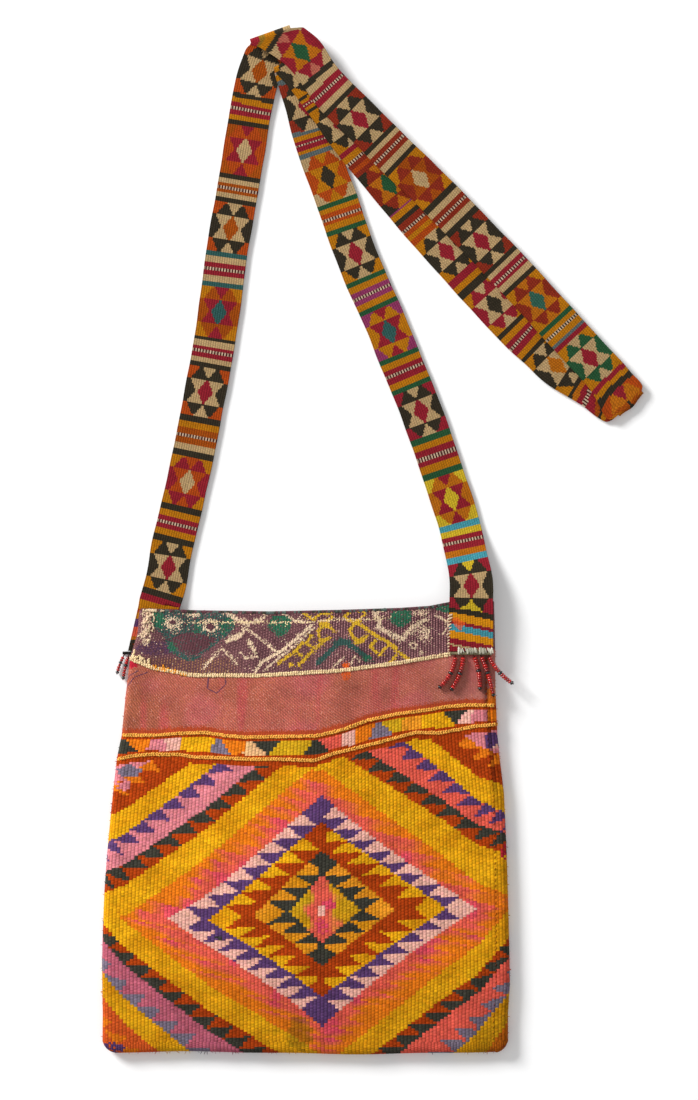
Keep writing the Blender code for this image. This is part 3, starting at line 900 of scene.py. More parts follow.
@dataclass(frozen=True)
class Stroke:
    """One line of embroidery, through pixel marks."""

    dye: Dye
    width: float
    marks: tuple[Mark, ...]
    share: float = 1.0  # how many of its cells take the yarn

    def inside(self, px: Array, py: Array, ragged: Value = 0) -> Array:
        """Which cells the line covers.

        Args:
            px, py: the cells' pixels.
            ragged: how much thinner the line is at each cell.

        Returns:
            True for each cell on the line.
        """
        off = np.full(np.shape(px), np.inf)
        for (ax, ay), (bx, by) in zip(self.marks, self.marks[1:]):
            along = ((px - ax) * (bx - ax) + (py - ay) * (by - ay)) / ((bx - ax) ** 2 + (by - ay) ** 2)
            along = np.clip(along, 0, 1)
            off = np.minimum(off, np.hypot(px - mix(ax, bx, along), py - mix(ay, by, along)))
        return off + 3 * ragged < self.width


@dataclass(frozen=True)
class Figure:
    """A figure filled with one yarn, by its outline's pixel marks."""

    dye: Dye
    marks: tuple[Mark, ...]
    share: float = 1.0  # how many of its cells take the yarn

    def inside(self, px: Array, py: Array, ragged: Value = 0) -> Array:
        """Which cells lie within the outline, by counting its crossings to the right.

        Args:
            px, py: the cells' pixels.
            ragged: how far the outline is moved at each cell.

        Returns:
            True for each cell within it.
        """
        odd = np.zeros(np.shape(px), bool)
        for (ax, ay), (bx, by) in zip(self.marks, self.marks[1:] + self.marks[:1]):
            level = (ay > py) != (by > py)
            crossing = ax + (bx - ax) * (py - ay) / (by - ay if by != ay else 1)
            odd ^= level & (px + 4 * ragged < crossing)
        return odd


def strokes(dye: Dye, *lines: tuple) -> tuple[Stroke, ...]:
    """Strokes of one dye, each given as its width, its share and its marks."""
    return tuple(Stroke(dye, width, tuple(marks), share) for width, share, *marks in lines)


@dataclass
class TapestryPattern:
    """The front's pattern: nested lozenges with stepped teeth, under a border of triangles."""

    centre: float = 322.0  # the lozenges' middle column
    axis: tuple[Mark, ...] = ((103, 908), (124, 916), (169, 918), (209, 919), (254, 914), (290, 910),
                              (322, 909), (445, 907), (477, 909), (505, 899))
    apex_height: float = 19.0  # no teeth within this of a lozenge's top and bottom
    apex_width: float = 3.0
    rings: tuple[Ring, ...] = (
        Ring("heart", (32, 39, 32, 39), (35, 35, 33, 33), 4 * (Dye.CORAL,)),
        Ring("dark", (68, 73, 68, 73), (60, 60, 56, 56), 4 * (Dye.GREEN_BLACK,), 4 * (Dye.AMBER,), 31.0),
        Ring("rust", (113, 124, 113, 124), (88.5, 88.5, 87, 87), 4 * (Dye.RUST,), 4 * (Dye.GOLD,), 33.0,
             0.015),
        Ring("purple", (153, 155, 153, 155), (115, 115, 117, 117), 4 * (Dye.PURPLE,),
             4 * (Dye.PALE_PINK,), 32.0, 0.045),
        Ring("coral", (197, 191, 204, 201), (149, 141, 146, 158), 4 * (Dye.CORAL,)),
        Ring("gold", (240, 252, 240, 239), (175, 168, 171, 184), 4 * (Dye.GOLD,)),
        Ring("green", (269, 282, 262, 262), (196, 188, 196, 206), 4 * (Dye.RUST,),
             4 * (Dye.GREEN_BLACK,), 29.0, rows=(12.2, 11.5, 12.1, 11.6)),
        Ring("pink", (302, 293, 302, 288), (237, 232, 234, 267),
             (Dye.PINK, Dye.CORAL, Dye.MAGENTA_PINK, Dye.CORAL),
             (Dye.PURPLE, Dye.PURPLE, Dye.SLATE, Dye.SLATE), rows=(12.2, 11.5, 12.8, 12.0)),
        Ring("outer gold", (341, 338, 333, 295), (254, 247, 262, 330), 4 * (Dye.GOLD,)),
        Ring("outer rust", (382, 378, 372, 335), (285, 278, 292, 372),
             (Dye.RUST, Dye.RUST, Dye.CORAL_ORANGE, Dye.ORANGE),
             (Dye.ORANGE, Dye.ORANGE, Dye.ORANGE, Dye.CORAL_ORANGE), 25.0),
        Ring("corner", 4 * (900,), 4 * (900,), (Dye.PINK, Dye.PINK, Dye.CORAL_ORANGE, Dye.CORAL_ORANGE)),
    )
    blobs: tuple[Blob, ...] = (
        Blob(Dye.PINK, 122, 783, 8, 7, 0.8), Blob(Dye.SLATE, 129, 771, 12, 6),
        Blob(Dye.PURPLE, 494, 740, 10, 8), Blob(Dye.PALE_PINK, 497, 748, 6, 4, 0.5),
        Blob(Dye.PURPLE, 114, 1047, 11, 6, 0.7), Blob(Dye.GREEN_BLACK, 219, 937, 2.5, 2, 0.8),
        Blob(Dye.BRIGHT_PINK, 329, 903, 8, 5), Blob(Dye.BRIGHT_PINK, 322, 925, 6, 8, 0.7),
        Blob(Dye.PALE_PINK, 322, 909, 5, 6), Blob(Dye.CRIMSON, 505, 851, 4, 8, 0.7),
    )
    # The border's patches: dye, then where each ends at its top and at its bottom
    patches: tuple[tuple[Dye, float, float], ...] = (
        (Dye.GREEN_BLACK, 125, 138), (Dye.ORANGE, 153, 146), (Dye.PINK, 165, 168),
        (Dye.PALE_PINK, 182, 182), (Dye.GOLD, 218, 209), (Dye.SLATE, 222, 231), (Dye.ORANGE, 247, 243),
        (Dye.PEACH, 252, 268), (Dye.GREEN_BLACK, 281, 268), (Dye.OLIVE_GOLD, 314, 303),
        (Dye.GREEN_BLACK, 318, 329), (Dye.CORAL, 342, 342), (Dye.PALE_PINK, 356, 356),
        (Dye.ORANGE, 376, 369), (Dye.SLATE, 380, 394), (Dye.OLIVE_GOLD, 404, 400),
        (Dye.AMBER, 420, 420), (Dye.GOLD, 443, 456), (Dye.GREEN_BLACK, 467, 456),
        (Dye.PALE_PINK, 474, 470), (Dye.PINK, 487, 487), (Dye.ORANGE, 900, 900),
    )

    def of_rings(self, size: str) -> Array:
        """One size of every ring."""
        return np.array([getattr(ring, size) for ring in self.rings])

    def colour(self, x: Array, y: Array, random: Random) -> Array:
        """The yarn of each cell.

        Args:
            x, y: the cells' places.
            random: the seeded generator.

        Returns:
            A linear colour for each cell.
        """
        px, py = to_px(x), to_py(y)
        axis = np.interp(px, *np.array(self.axis).T)
        dx, dy = np.abs(px - self.centre), np.abs(py - axis)
        quarter = np.where(py > axis, 2, 0) + (px > self.centre)
        sideways = dx[..., None] / self.of_rings("across").T[quarter]
        upward = dy[..., None] / self.of_rings("up").T[quarter]
        reach = sideways + upward
        share = upward / np.maximum(reach, 1e-6)
        reach = reach + self.of_rings("bow") * 4 * share * (1 - share)
        zone = np.minimum((reach >= 1).sum(axis=-1), len(self.rings) - 1)
        inner = np.array([[dyed(d) for d in ring.inner] for ring in self.rings])
        outer = np.array([[dyed(d) for d in ring.outer or ring.inner] for ring in self.rings])
        nearest = np.take_along_axis(reach, zone[..., None], -1)[..., 0]
        inset = (1 - nearest) * self.of_rings("across")[zone, quarter]
        row = self.of_rings("rows")[zone, quarter]
        tooth = self.of_rings("tooth")[zone] * (1 - (dy / row) % 1)
        below_apex = dy // row * row < self.of_rings("up")[zone, quarter] - self.apex_height
        toothed = (inset < tooth) & below_apex & (dx > self.apex_width)
        found = painted(inner[zone, quarter], toothed, outer[zone, quarter])
        found = self.mottled(found, zone, reach, px, py, dx, random)
        return self.bordered(found, x, y, px)

    def mottled(self, found: Array, zone: Array, reach: Array, px: Array, py: Array, dx: Array,
                random: Random) -> Array:
        """Adds the patches of odd yarn and the dyes that ran.

        Args:
            found: the colours so far.
            zone: the ring that each cell lies in.
            reach: each cell's place against every ring's line.
            px, py: the cells' pixels.
            dx: their distances from the middle column.
            random: the seeded generator.

        Returns:
            The colours.
        """
        names = [ring.name for ring in self.rings]
        purple, coral = names.index("purple"), names.index("coral")
        past, short = reach[..., purple] - 1, 1 - reach[..., coral]
        outward = past / np.maximum(past + short, 1e-6)
        cells = random.normal(0, 0.05, px.shape)
        saw = (py / 11.5 - 0.25 * px / 11.5) % 1 - 0.5
        run = ease(0.5 + 1.9 * (outward - 0.52) + 0.40 * drift(px, py, 13, 0.4) + 1.1 * saw + cells)
        bright = ease(1.6 * drift(px, py, 9, 2.0) - 0.2 + cells)[..., None] * 0.8
        bled = mix(mix(dyed(Dye.CORAL), dyed(Dye.BRIGHT_PINK), bright), dyed(Dye.ORANGE), run[..., None])
        found = painted(found, zone == coral, bled)
        olive = ease((dx - 9 + 5 * drift(px, py, 6, 1)) / 9)[..., None]
        found = painted(found, zone == 0, mix(dyed(Dye.CORAL), dyed(Dye.OLIVE_GOLD), olive))
        found = painted(found, (zone == coral) & (py < 769), Dye.GOLD)
        golden = (found[..., 0] > 0.5) & (found[..., 1] > 0.25) & (found[..., 2] < 0.02)
        faded = (0.30 + 0.35 * drift(px, py, 11, 3.1)).clip(0, 0.8)[..., None]
        found = painted(found, golden, mix(found, dyed(Dye.DEEP_GOLD), faded))
        for blob in self.blobs:
            inside = blob.inside(px, py, cells) & (random.random(px.shape) < blob.share)
            found = painted(found, inside, blob.dye)
        stain = Blob(Dye.OLIVE, 300, 1033, 12, 17).inside(px, py, 1.5 * cells)
        return painted(found, stain, dyed(Dye.OLIVE) * 0.4, 0.5)

    def bordered(self, found: Array, x: Array, y: Array, px: Array) -> Array:
        """Puts the border of triangles and its rust rows over the panel's top.

        Args:
            found: the colours so far.
            x, y: the cells' places.
            px: their pixel columns.

        Returns:
            The colours.
        """
        low, high = LOWER_ROPE(x), UPPER_ROPE(x)
        up = ((y - low) / (high - low) - 0.20) / 0.62
        ends = np.array([mix(bottom, top, np.clip(up, 0, 1)) for _, top, bottom in self.patches])
        which = (px[None] >= ends).sum(axis=0).clip(0, len(self.patches) - 1)
        patch = np.array([dyed(dye) for dye, _, _ in self.patches])[which]
        found = painted(found, (up >= 0) & (up <= 1), patch)
        rust_rows = ((up < 0) | (up > 1)) & (y > low - 6.5 * PIXEL)
        return painted(found, rust_rows, Dye.RUST)


# The walls of the bag

def seam_shade(px: Array, py: Array) -> Array:
    """How much light the sunk seam near the right edge leaves each cell.

    Args:
        px, py: the cells' pixels.

    Returns:
        Shares from 1 down, with an axis more for the colours.
    """
    line = np.interp(py, (600, 700, 730, 760, 830), (487, 486, 489, 493, 496))
    deep = 0.62 * ease((860 - py) / 90)
    return (1 - deep * np.exp(-((px - line) / 2.7) ** 2))[..., None]


@dataclass(frozen=True)
class Zone:
    """One woven zone, between two lines across the bag."""

    name: str
    low: Line
    high: Line
    rows: int
    finish: Material
    dye: Callable[[Array, Array], Array]  # gives the colours from the cells' unrolled x and their y
    left_nodes: tuple[str, ...]  # the CAD nodes that it stands for
    right_nodes: tuple[str, ...] = ()
    fineness: float = 1.0  # columns of cells to a rib of the tapestry
    thread: Mark = (1, 1)  # how many columns and rows of cells make one rib and one pick


@dataclass
class Walls:
    """The cloth of the bag: three woven zones, front and back, and the bottom edge."""

    form: BagForm
    rib: float = 0.0020  # one rib of the tapestry at the bag's bottom
    arc_steps: int = 6
    lip_steps: int = 5
    rounds: int = 4  # a cell's x and y depend on each other, and settle in this many rounds
    front_flat: float = 0.122  # the flat width of a front half, round its edge, and of the back
    back_flat: float = 0.200
    bottom_flat: float = 0.018
    bottom_steps: int = 14  # rows of cells round the bottom edge
    bottom_sag: float = 0.0009  # how far the bottom edge waves
    bunching: float = 0.35  # how much its columns crowd towards the corners
    pattern: TapestryPattern = field(default_factory=TapestryPattern)
    random: Random = seeded(11)
    # Purple threads caught on the rose band
    caught_threads: tuple[Stroke, ...] = strokes(
        Dye.DEEP_PURPLE, (0.55, 1, (126, 679), (130, 675), (138, 671)),
        (0.55, 1, (125, 688), (135, 677), (148, 672)),
        (0.55, 1, (209, 676), (208, 688), (217, 693), (226, 684), (226, 676)),
    )
    tapestry: WovenCotton = WovenCotton("handwoven_wool_and_cotton_tapestry", valley=0.64, pebble=0.52)
    plain: WovenCotton = WovenCotton("plain_weave_rose_cotton", relief=0.00015, valley=0.72, pebble=0.7,
                                     mottle=0.14, mottle_mm=14, fibre_mm=0.7)
    ribbed: WovenCotton = WovenCotton("ribbed_purple_band_cotton", relief=0.0003, valley=0.70, pebble=0.5)

    def stations(self, fineness: float) -> tuple[Array, Array, Array]:
        """The columns from the middle rib round a folded edge to the back lip.

        Args:
            fineness: how many columns there are to a rib.

        Returns:
            Which columns are flat, which go round the edge, and how far through its part each lies.
        """
        flat = round((self.form.base_width / 2 - self.form.edge_radius) / self.rib * fineness)
        arc, lip = round(self.arc_steps * fineness), round(self.lip_steps * fineness)
        kinds = np.repeat(("flat", "arc", "lip"), (flat, arc, lip + 1))
        shares = np.concatenate([np.arange(flat) / flat, np.arange(arc) / arc, np.arange(lip + 1) / lip])
        return kinds == "flat", kinds == "arc", shares

    def half(self, name: str, side: int, zone: Zone) -> Piece:
        """One half of a front zone, round its folded edge and onto the back.

        Args:
            name: the piece's name.
            side: -1 for the left half, 1 for the right.
            zone: the zone.

        Returns:
            The piece.
        """
        form = self.form
        flat, arc, shares = self.stations(zone.fineness)
        steps = np.arange(zone.rows + 1)[:, None]
        y = np.zeros((zone.rows + 1, len(shares)))
        for _ in range(self.rounds):
            edge = form.edge(side, y)
            inner = edge - side * form.edge_radius
            flat_x = mix(form.middle(y), inner, np.where(flat, shares, 1.0))
            y = mix(zone.low(flat_x), zone.high(flat_x), steps / zone.rows)
        turn = pi * np.where(arc, shares, 1.0)
        arc_x = inner + side * form.edge_radius * np.sin(turn)
        lip_x = edge - side * mix(form.edge_radius, form.back_lip, shares)
        x = np.select([flat, arc], [flat_x, arc_x], lip_x)
        arc_z = mix(form.back_lift(inner, y), form.front_height(inner, y), (1 + np.cos(turn)) / 2)
        z = np.select([flat, arc], [form.front_height(x, y), arc_z], form.back_lift(x, y))
        round_edge = form.edge_radius * pi
        beyond = np.select([flat, arc], [0 * shares, round_edge * shares],
                           round_edge + (form.back_lip - form.edge_radius) * shares)
        rolled = flat_x + side * beyond
        points = np.stack([x, y, z], axis=-1)
        ribs = np.arange(len(shares)) / zone.thread[0]
        threads = np.stack(np.broadcast_arrays(ribs, steps / zone.thread[1]), axis=-1)
        if side < 0:
            points, rolled, y, threads = (a[:, ::-1] for a in (points, rolled, y, threads))
        centre = [(a[1:, 1:] + a[1:, :-1] + a[:-1, 1:] + a[:-1, :-1]) / 4 for a in (rolled, y)]
        colours = tinted(zone.dye(*centre), self.random, 0.11)
        return woven_grid(name, points, colours, zone.finish, form.cloth, threads)

    def tapestry_dye(self, x: Array, y: Array) -> Array:
        """The tapestry's colours, with the seam's shadow and painted shade that darkens the cloth towards the
        bottom and the lower right.

        Args:
            x, y: the cells' places.

        Returns:
            A linear colour for each cell.
        """
        px, py = to_px(x), to_py(y)
        # painted shade: darker towards the bottom, down the lower right side and in the lower right corner,
        # where the light falls off
        painted_falloff = 1 - 0.20 * ease((py - 920) / 130) - 0.12 * ease((px - 455) / 45) * ease((py - 800) / 90)
        painted_falloff = painted_falloff - 0.27 * ease((px - 455) / 40) * ease((py - 1005) / 40)
        return self.pattern.colour(x, y, self.random) * seam_shade(px, py) * painted_falloff[..., None]

    def rose_dye(self, x: Array, y: Array) -> Array:
        """The rose band: mottled, browner at the left, with gold flecks and orange feather stitches.

        Args:
            x, y: the cells' places.

        Returns:
            A linear colour for each cell.
        """
        px, py = to_px(x), to_py(y)
        rows, columns = np.indices(x.shape)
        rose = dyed(Dye.ROSE)
        share = 0.25 + 0.22 * drift(px, py, 21, 1.1) + 0.35 * ease((185 - px) / 50)
        found = mix(rose, dyed(Dye.ROSE_BROWN), share.clip(0, 0.8)[..., None])
        pink = ease(0.9 * drift(px, py, 16, 2.7) - 0.1)[..., None]
        found = mix(found, dyed(Dye.ROSE_PINK), 0.55 * pink)
        streak = ease(0.9 * drift(2.4 * px, 0.5 * py, 15, 1.9) - 0.25)[..., None]
        found = mix(found, dyed(Dye.ROSE_STREAK), 0.6 * streak)
        light = np.array((1.34, 1.04, 0.74, 0.92))[(rows + columns) % 4]  # of the weave's four cells
        found = mix(found * light[..., None], dyed(Dye.FADED_ROSE), 0.32 * ease((px - 410) / 60)[..., None])
        fleck = self.random.random(x.shape)
        found = painted(found, fleck > 0.965, Dye.GOLD_FLECK, 0.7)
        found = painted(found, fleck < 0.04, Dye.PALE_FLECK, 0.6)
        above_rope = (y - UPPER_ROPE(x)) / PIXEL
        feather = above_rope < 5.0 + 3.5 * self.random.random(x.shape) ** 2
        found = painted(found, feather, mix(dyed(Dye.RUST), rose, 0.2))
        red = Blob(Dye.CRIMSON, 131, 664, 8, 4).inside(px, py, self.random.normal(0, 0.15, x.shape))
        for caught in self.caught_threads:
            found = painted(found, caught.inside(px, py), caught.dye, 0.75)
        flank = Figure(Dye.ORANGE, ((487, 689), (500, 686), (500, 706), (487, 706)))
        found = painted(found, flank.inside(px, py), mix(dyed(flank.dye), found, 0.15))
        stain = Blob(Dye.CORAL_ORANGE, 346, 673, 5, 7)
        found = painted(found, stain.inside(px, py) & (fleck < 0.7), stain.dye)
        return painted(found, red, Dye.CRIMSON) * seam_shade(px, py)

    def foot(self, x: Array) -> Array:
        """The line where the tapestry ends above the bottom edge."""
        return np.full_like(x, self.form.wall_foot_y)

    def build(self) -> None:
        """Builds the front's zones left and right of the middle rib, then the back and the bottom."""
        tapestry, plain, ribbed = (finish.material() for finish in (self.tapestry, self.plain, self.ribbed))
        purple = PurpleBand(self.random)
        middle = np.array([0.0])
        for zone in (
            Zone("tapestry", self.foot, UPPER_ROPE, 148, tapestry, self.tapestry_dye,
                 ("front_tapestry_panel", "left_fold_strip"), ("front_right_flank", "right_wrap_strip"),
                 thread=(1, 1.4)),
            Zone("rose_band", UPPER_ROPE, CORD_LINE, 84, plain, self.rose_dye, ("front_pink_band",),
                 fineness=4.0, thread=(2, 2)),
            Zone("purple_band", CORD_LINE, MOUTH_LINE, 66, ribbed, purple.colour, ("front_purple_band",),
                 fineness=3.5, thread=(3, 3)),
        ):
            for (side, where), nodes in zip(SIDES, (zone.left_nodes, zone.right_nodes)):
                piece = self.half(f"{zone.name}_{where}", side, zone)
                bends(piece)
                span = abs(float(zone.high(middle)[0]) - float(zone.low(middle)[0]))
                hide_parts(*nodes)
        for zone in (
            Zone("back_tapestry", self.foot, UPPER_ROPE, 76, tapestry, self.tapestry_dye,
                 ("back_tapestry_panel",)),
            Zone("back_rose", UPPER_ROPE, CORD_LINE, 20, plain, self.rose_dye, ("back_pink_band",)),
            Zone("back_purple", CORD_LINE, MOUTH_LINE, 24, ribbed, purple.plain, ("back_purple_band",)),
        ):
            self.back(zone)
        self.bottom(tapestry)

    def back(self, zone: Zone) -> None:
        """Builds one zone of the back, between the two lips.

        Args:
            zone: the zone.
        """
        form = self.form
        columns = round(form.base_width / self.rib)
        across = (np.arange(columns + 1) / columns)[None, ::-1]
        y = np.zeros((zone.rows + 1, columns + 1))
        for _ in range(self.rounds):
            x = mix(form.edge(-1, y) + form.back_lip, form.edge(1, y) - form.back_lip, across)
            y = mix(zone.low(x), zone.high(x), (np.arange(zone.rows + 1) / zone.rows)[:, None])
        points = np.stack([x, y, form.back_lift(x, y)], axis=-1)
        centre = [(a[1:, 1:] + a[:-1, :-1]) / 2 for a in (x, y)]
        piece = woven_grid(zone.name, points, tinted(zone.dye(*centre), self.random), zone.finish,
                           form.cloth)
        fixed(piece, *zone.left_nodes)

    def bottom(self, finish: Material) -> None:
        """Builds the bottom edge, where the cloth turns under between rounded corners.

        Args:
            finish: the tapestry's material.
        """
        form = self.form
        columns = 2 * round(form.base_width / self.rib / 2) + 12
        foot = form.wall_foot_y
        left, right = float(form.edge(-1, foot)), float(form.edge(1, foot))
        bunch = -np.cos(pi * np.arange(columns + 1) / columns)
        x = mix(left, right, (mix(np.linspace(-1, 1, columns + 1), bunch, self.bunching) + 1) / 2)
        inside = np.clip(np.minimum(x - left, right - x), 0, form.corner_radius)
        drop = form.corner_radius - np.sqrt(form.corner_radius**2 - (form.corner_radius - inside) ** 2)
        sag = self.bottom_sag * np.sin((x - left) / (right - left) * 7.5) ** 3
        low = np.minimum(form.base_y + drop + sag * (drop < 1e-4), foot - 1e-4)
        share = np.arange(self.bottom_steps + 1)[:, None] / self.bottom_steps
        y = mix(low, foot, np.abs(1 - 2 * share) ** 1.6)
        depth = np.minimum(np.minimum(y - low, inside + 1e-9), form.edge_radius)
        open_up = form.cap(depth)
        wide = np.broadcast_to(x, y.shape)
        top = form.front_height(wide, np.full_like(y, foot))
        side_open = form.cap(np.minimum(x - left, right - x))
        full_top = form.edge_radius + (top - form.edge_radius) / np.maximum(side_open, 1e-3) * open_up
        z = np.where(share < 0.5, np.minimum(full_top, top), form.edge_radius * (1 - open_up))
        z = np.where(np.isclose(share, 0.5), form.edge_radius, z)
        points = np.stack([wide, y, z], axis=-1)[::-1]
        roll = np.where(share < 0.5, y, 2 * low - y)[::-1]
        centre = [(a[1:, 1:] + a[:-1, :-1]) / 2 for a in (wide[::-1], roll)]
        colours = tinted(self.tapestry_dye(*centre), self.random)
        piece = woven_grid("bottom_edge", points, colours, finish, form.cloth)
        fixed(piece, "bottom_seam")


@dataclass
class PurpleBand:
    """The ribbed purple band with its brocaded figures."""

    random: Random
    figures: tuple[Blob | Stroke | Figure, ...] = (
        # The heart at the left, with two rosettes
        Figure(Dye.DARK_GREEN, ((153, 611), (153, 626), (165, 637), (168, 646), (176, 655), (187, 661),
                                (196, 660), (206, 651), (219, 642), (229, 634), (236, 625), (232, 614),
                                (205, 611), (165, 609)), 0.64),
        Figure(Dye.BLOB_GREEN, ((153, 613), (153, 625), (162, 630), (166, 620), (162, 611)), 0.85),
        Figure(Dye.BLOB_GREEN, ((220, 622), (222, 636), (235, 626), (232, 616)), 0.5),
        Figure(Dye.BLOB_GREEN, ((195, 624), (194, 634), (201, 634), (201, 624)), 0.7),
        Blob(Dye.BLOB_GREEN, 173, 646, 5, 5, 0.9),
        Figure(Dye.PLUM, ((172, 638), (181, 634), (190, 632), (203, 634), (216, 638), (210, 645), (203, 650),
                          (195, 655), (187, 655), (179, 650), (173, 644)), 0.9),
        Blob(Dye.WHITE, 174, 623, 8.5, 6.5, 0.62), Blob(Dye.PLUM, 173, 622, 3, 2.5),
        Blob(Dye.WHITE, 211, 626, 7.5, 7, 0.55), Blob(Dye.PLUM, 211, 626, 4, 4),
        # Cream stitches round it
        *strokes(Dye.WHITE, (4.5, 0.45, (147, 604), (146, 640)), (3.0, 0.6, (150, 602), (160, 606)),
                 (1.6, 0.6, (183, 612), (192, 615), (199, 614)),
                 (2.2, 0.6, (228, 614), (238, 619), (248, 624)),
                 (1.6, 0.6, (248, 624), (258, 620), (266, 616)), (2.6, 0.85, (228, 640), (240, 635)),
                 (2.0, 0.7, (240, 635), (244, 629)), (1.1, 0.7, (248, 629), (262, 640), (276, 651)),
                 (1.6, 0.8, (249, 640), (256, 653)),
                 (1.0, 0.7, (205, 667), (212, 658), (222, 648), (231, 657), (238, 664)),
                 (0.8, 0.5, (240, 652), (247, 658), (258, 656)),
                 (1.5, 1.0, (256, 671), (262, 662), (284, 649), (311, 626)),
                 (1.0, 0.8, (266, 669), (276, 660), (290, 649), (314, 628)),
                 (1.4, 0.6, (283, 612), (292, 619), (304, 622))),
        # The green lozenges and the chevron
        Figure(Dye.BLOB_GREEN, ((268, 626), (273, 616), (285, 615), (292, 620), (290, 630), (279, 638)),
               0.9),
        Figure(Dye.BLOB_GREEN, ((390, 622), (391, 613), (398, 609), (412, 611), (411, 621), (401, 628)),
               0.92),
        Figure(Dye.BLOB_GREEN, ((435, 609), (446, 602), (456, 601), (456, 613), (446, 613)), 0.9),
        *strokes(Dye.DARK_GREEN, (2.4, 1.0, (318, 662), (330, 651), (341, 640), (352, 646), (366, 656)),
                 (3.0, 0.8, (336, 642), (348, 642))),
        Blob(Dye.BLOB_GREEN, 367, 658, 5, 3, 0.9),
        # The yellow figures
        *strokes(Dye.EMBROIDERY, (1.2, 1.0, (304, 613), (313, 619), (322, 613), (330, 614)),
                 (1.5, 1.0, (332, 617), (324, 624), (318, 631), (320, 640), (328, 638)),
                 (2.6, 1.0, (321, 623), (327, 625)), (1.2, 1.0, (326, 625), (335, 631)),
                 (1.5, 1.0, (328, 638), (314, 649), (299, 665)),
                 (1.2, 1.0, (312, 635), (306, 643), (313, 647)),
                 (1.2, 1.0, (303, 642), (296, 650), (302, 656)), (1.4, 1.0, (296, 650), (279, 663))),
        Blob(Dye.EMBROIDERY, 291, 664, 2.5, 2.5),
        *strokes(Dye.EMBROIDERY,
                 (1.3, 1.0, (345, 615), (353, 610), (366, 611), (361, 619), (354, 622), (347, 619),
                  (345, 615)),
                 (1.6, 1.0, (355, 622), (350, 630), (353, 637), (359, 642), (367, 636)),
                 (2.8, 1.0, (357, 641), (362, 640)),
                 (1.8, 1.0, (357, 622), (372, 633), (386, 641), (396, 648)),
                 (1.4, 1.0, (376, 640), (370, 646), (376, 652)), (1.2, 1.0, (388, 645), (379, 655)),
                 (1.4, 1.0, (389, 664), (398, 651), (409, 660))),
        # The cream figures at the right
        *strokes(Dye.WHITE,
                 (1.8, 0.85, (374, 613), (380, 620), (378, 627), (390, 633), (402, 638), (412, 627),
                  (425, 620)),
                 (1.0, 0.7, (381, 630), (400, 641), (418, 628)), (1.2, 0.8, (375, 613), (385, 610))),
        Blob(Dye.WHITE, 420, 612, 8, 3.5, 0.5), Blob(Dye.WHITE, 424, 634, 6, 7, 0.5),
        Blob(Dye.WHITE, 413, 645, 4, 3.5, 0.75), Blob(Dye.PLUM, 413, 645, 1.5, 1.5),
        *strokes(Dye.WHITE, (0.9, 0.7, (436, 616), (448, 622)), (0.9, 0.7, (443, 634), (449, 624))),
        Blob(Dye.WHITE, 421, 653, 2, 2, 0.7),
        *strokes(Dye.WHITE, (0.9, 0.8, (332, 668), (343, 657)),
                 (0.9, 0.6, (350, 664), (355, 656), (360, 661))),
        Blob(Dye.CORAL_ORANGE, 346, 665, 3.5, 3),
        # The dashed running stitch under the hem
        *strokes(Dye.LIGHT_CREAM, (0.7, 0.55, (190, 622), (300, 622), (318, 621), (340, 619), (388, 619))),
    )

    def plain(self, x: Array, y: Array) -> Array:
        """The ground: purple ribs with dotted pale threads between them.

        Args:
            x, y: the cells' places.

        Returns:
            A linear colour for each cell.
        """
        px, py = to_px(x), to_py(y)
        rows, columns = np.indices(x.shape)
        shade = (0.5 + 0.5 * drift(px, py, 17, 0.2)).clip(0, 1)[..., None]
        found = mix(dyed(Dye.PLUM), dyed(Dye.FADED_PLUM), shade)
        warm = ease((655 - py) / -6)[..., None] * ease((250 - px) / 30)[..., None]
        pale = mix(dyed(Dye.PINK_DOT), dyed(Dye.GOLD_DOT), warm)
        dot = (columns % 3 == 0) & ((rows + 2 * (columns // 3)) % 3 > 0) & (self.random.random(x.shape) > 0.1)
        found = painted(found, dot, mix(pale, found, 0.2))
        found = painted(found, columns % 3 == 1, found * 0.78)
        deep = Blob(Dye.DEEP_PURPLE, 156, 648, 20, 7)
        found = painted(found, deep.inside(px, py) & (self.random.random(x.shape) > 0.35), deep.dye, 0.7)
        return painted(found, self.random.random(x.shape) > 0.992, Dye.WHITE)

    def colour(self, x: Array, y: Array) -> Array:
        """The ground with its figures, each with ragged edges and a few stray stitches.

        Args:
            x, y: the cells' places.

        Returns:
            A linear colour for each cell.
        """
        px, py = to_px(x), to_py(y)
        found = self.plain(x, y)
        for figure in self.figures:
            inside = figure.inside(px, py, self.random.normal(0, 0.12, x.shape))
            inside &= self.random.random(x.shape) < figure.share * 0.92
            stray = figure.inside(px, py, self.random.normal(0, 0.5, x.shape))
            found = painted(found, inside | stray & (self.random.random(x.shape) < 0.3), figure.dye)
        return found


# Sewn lines

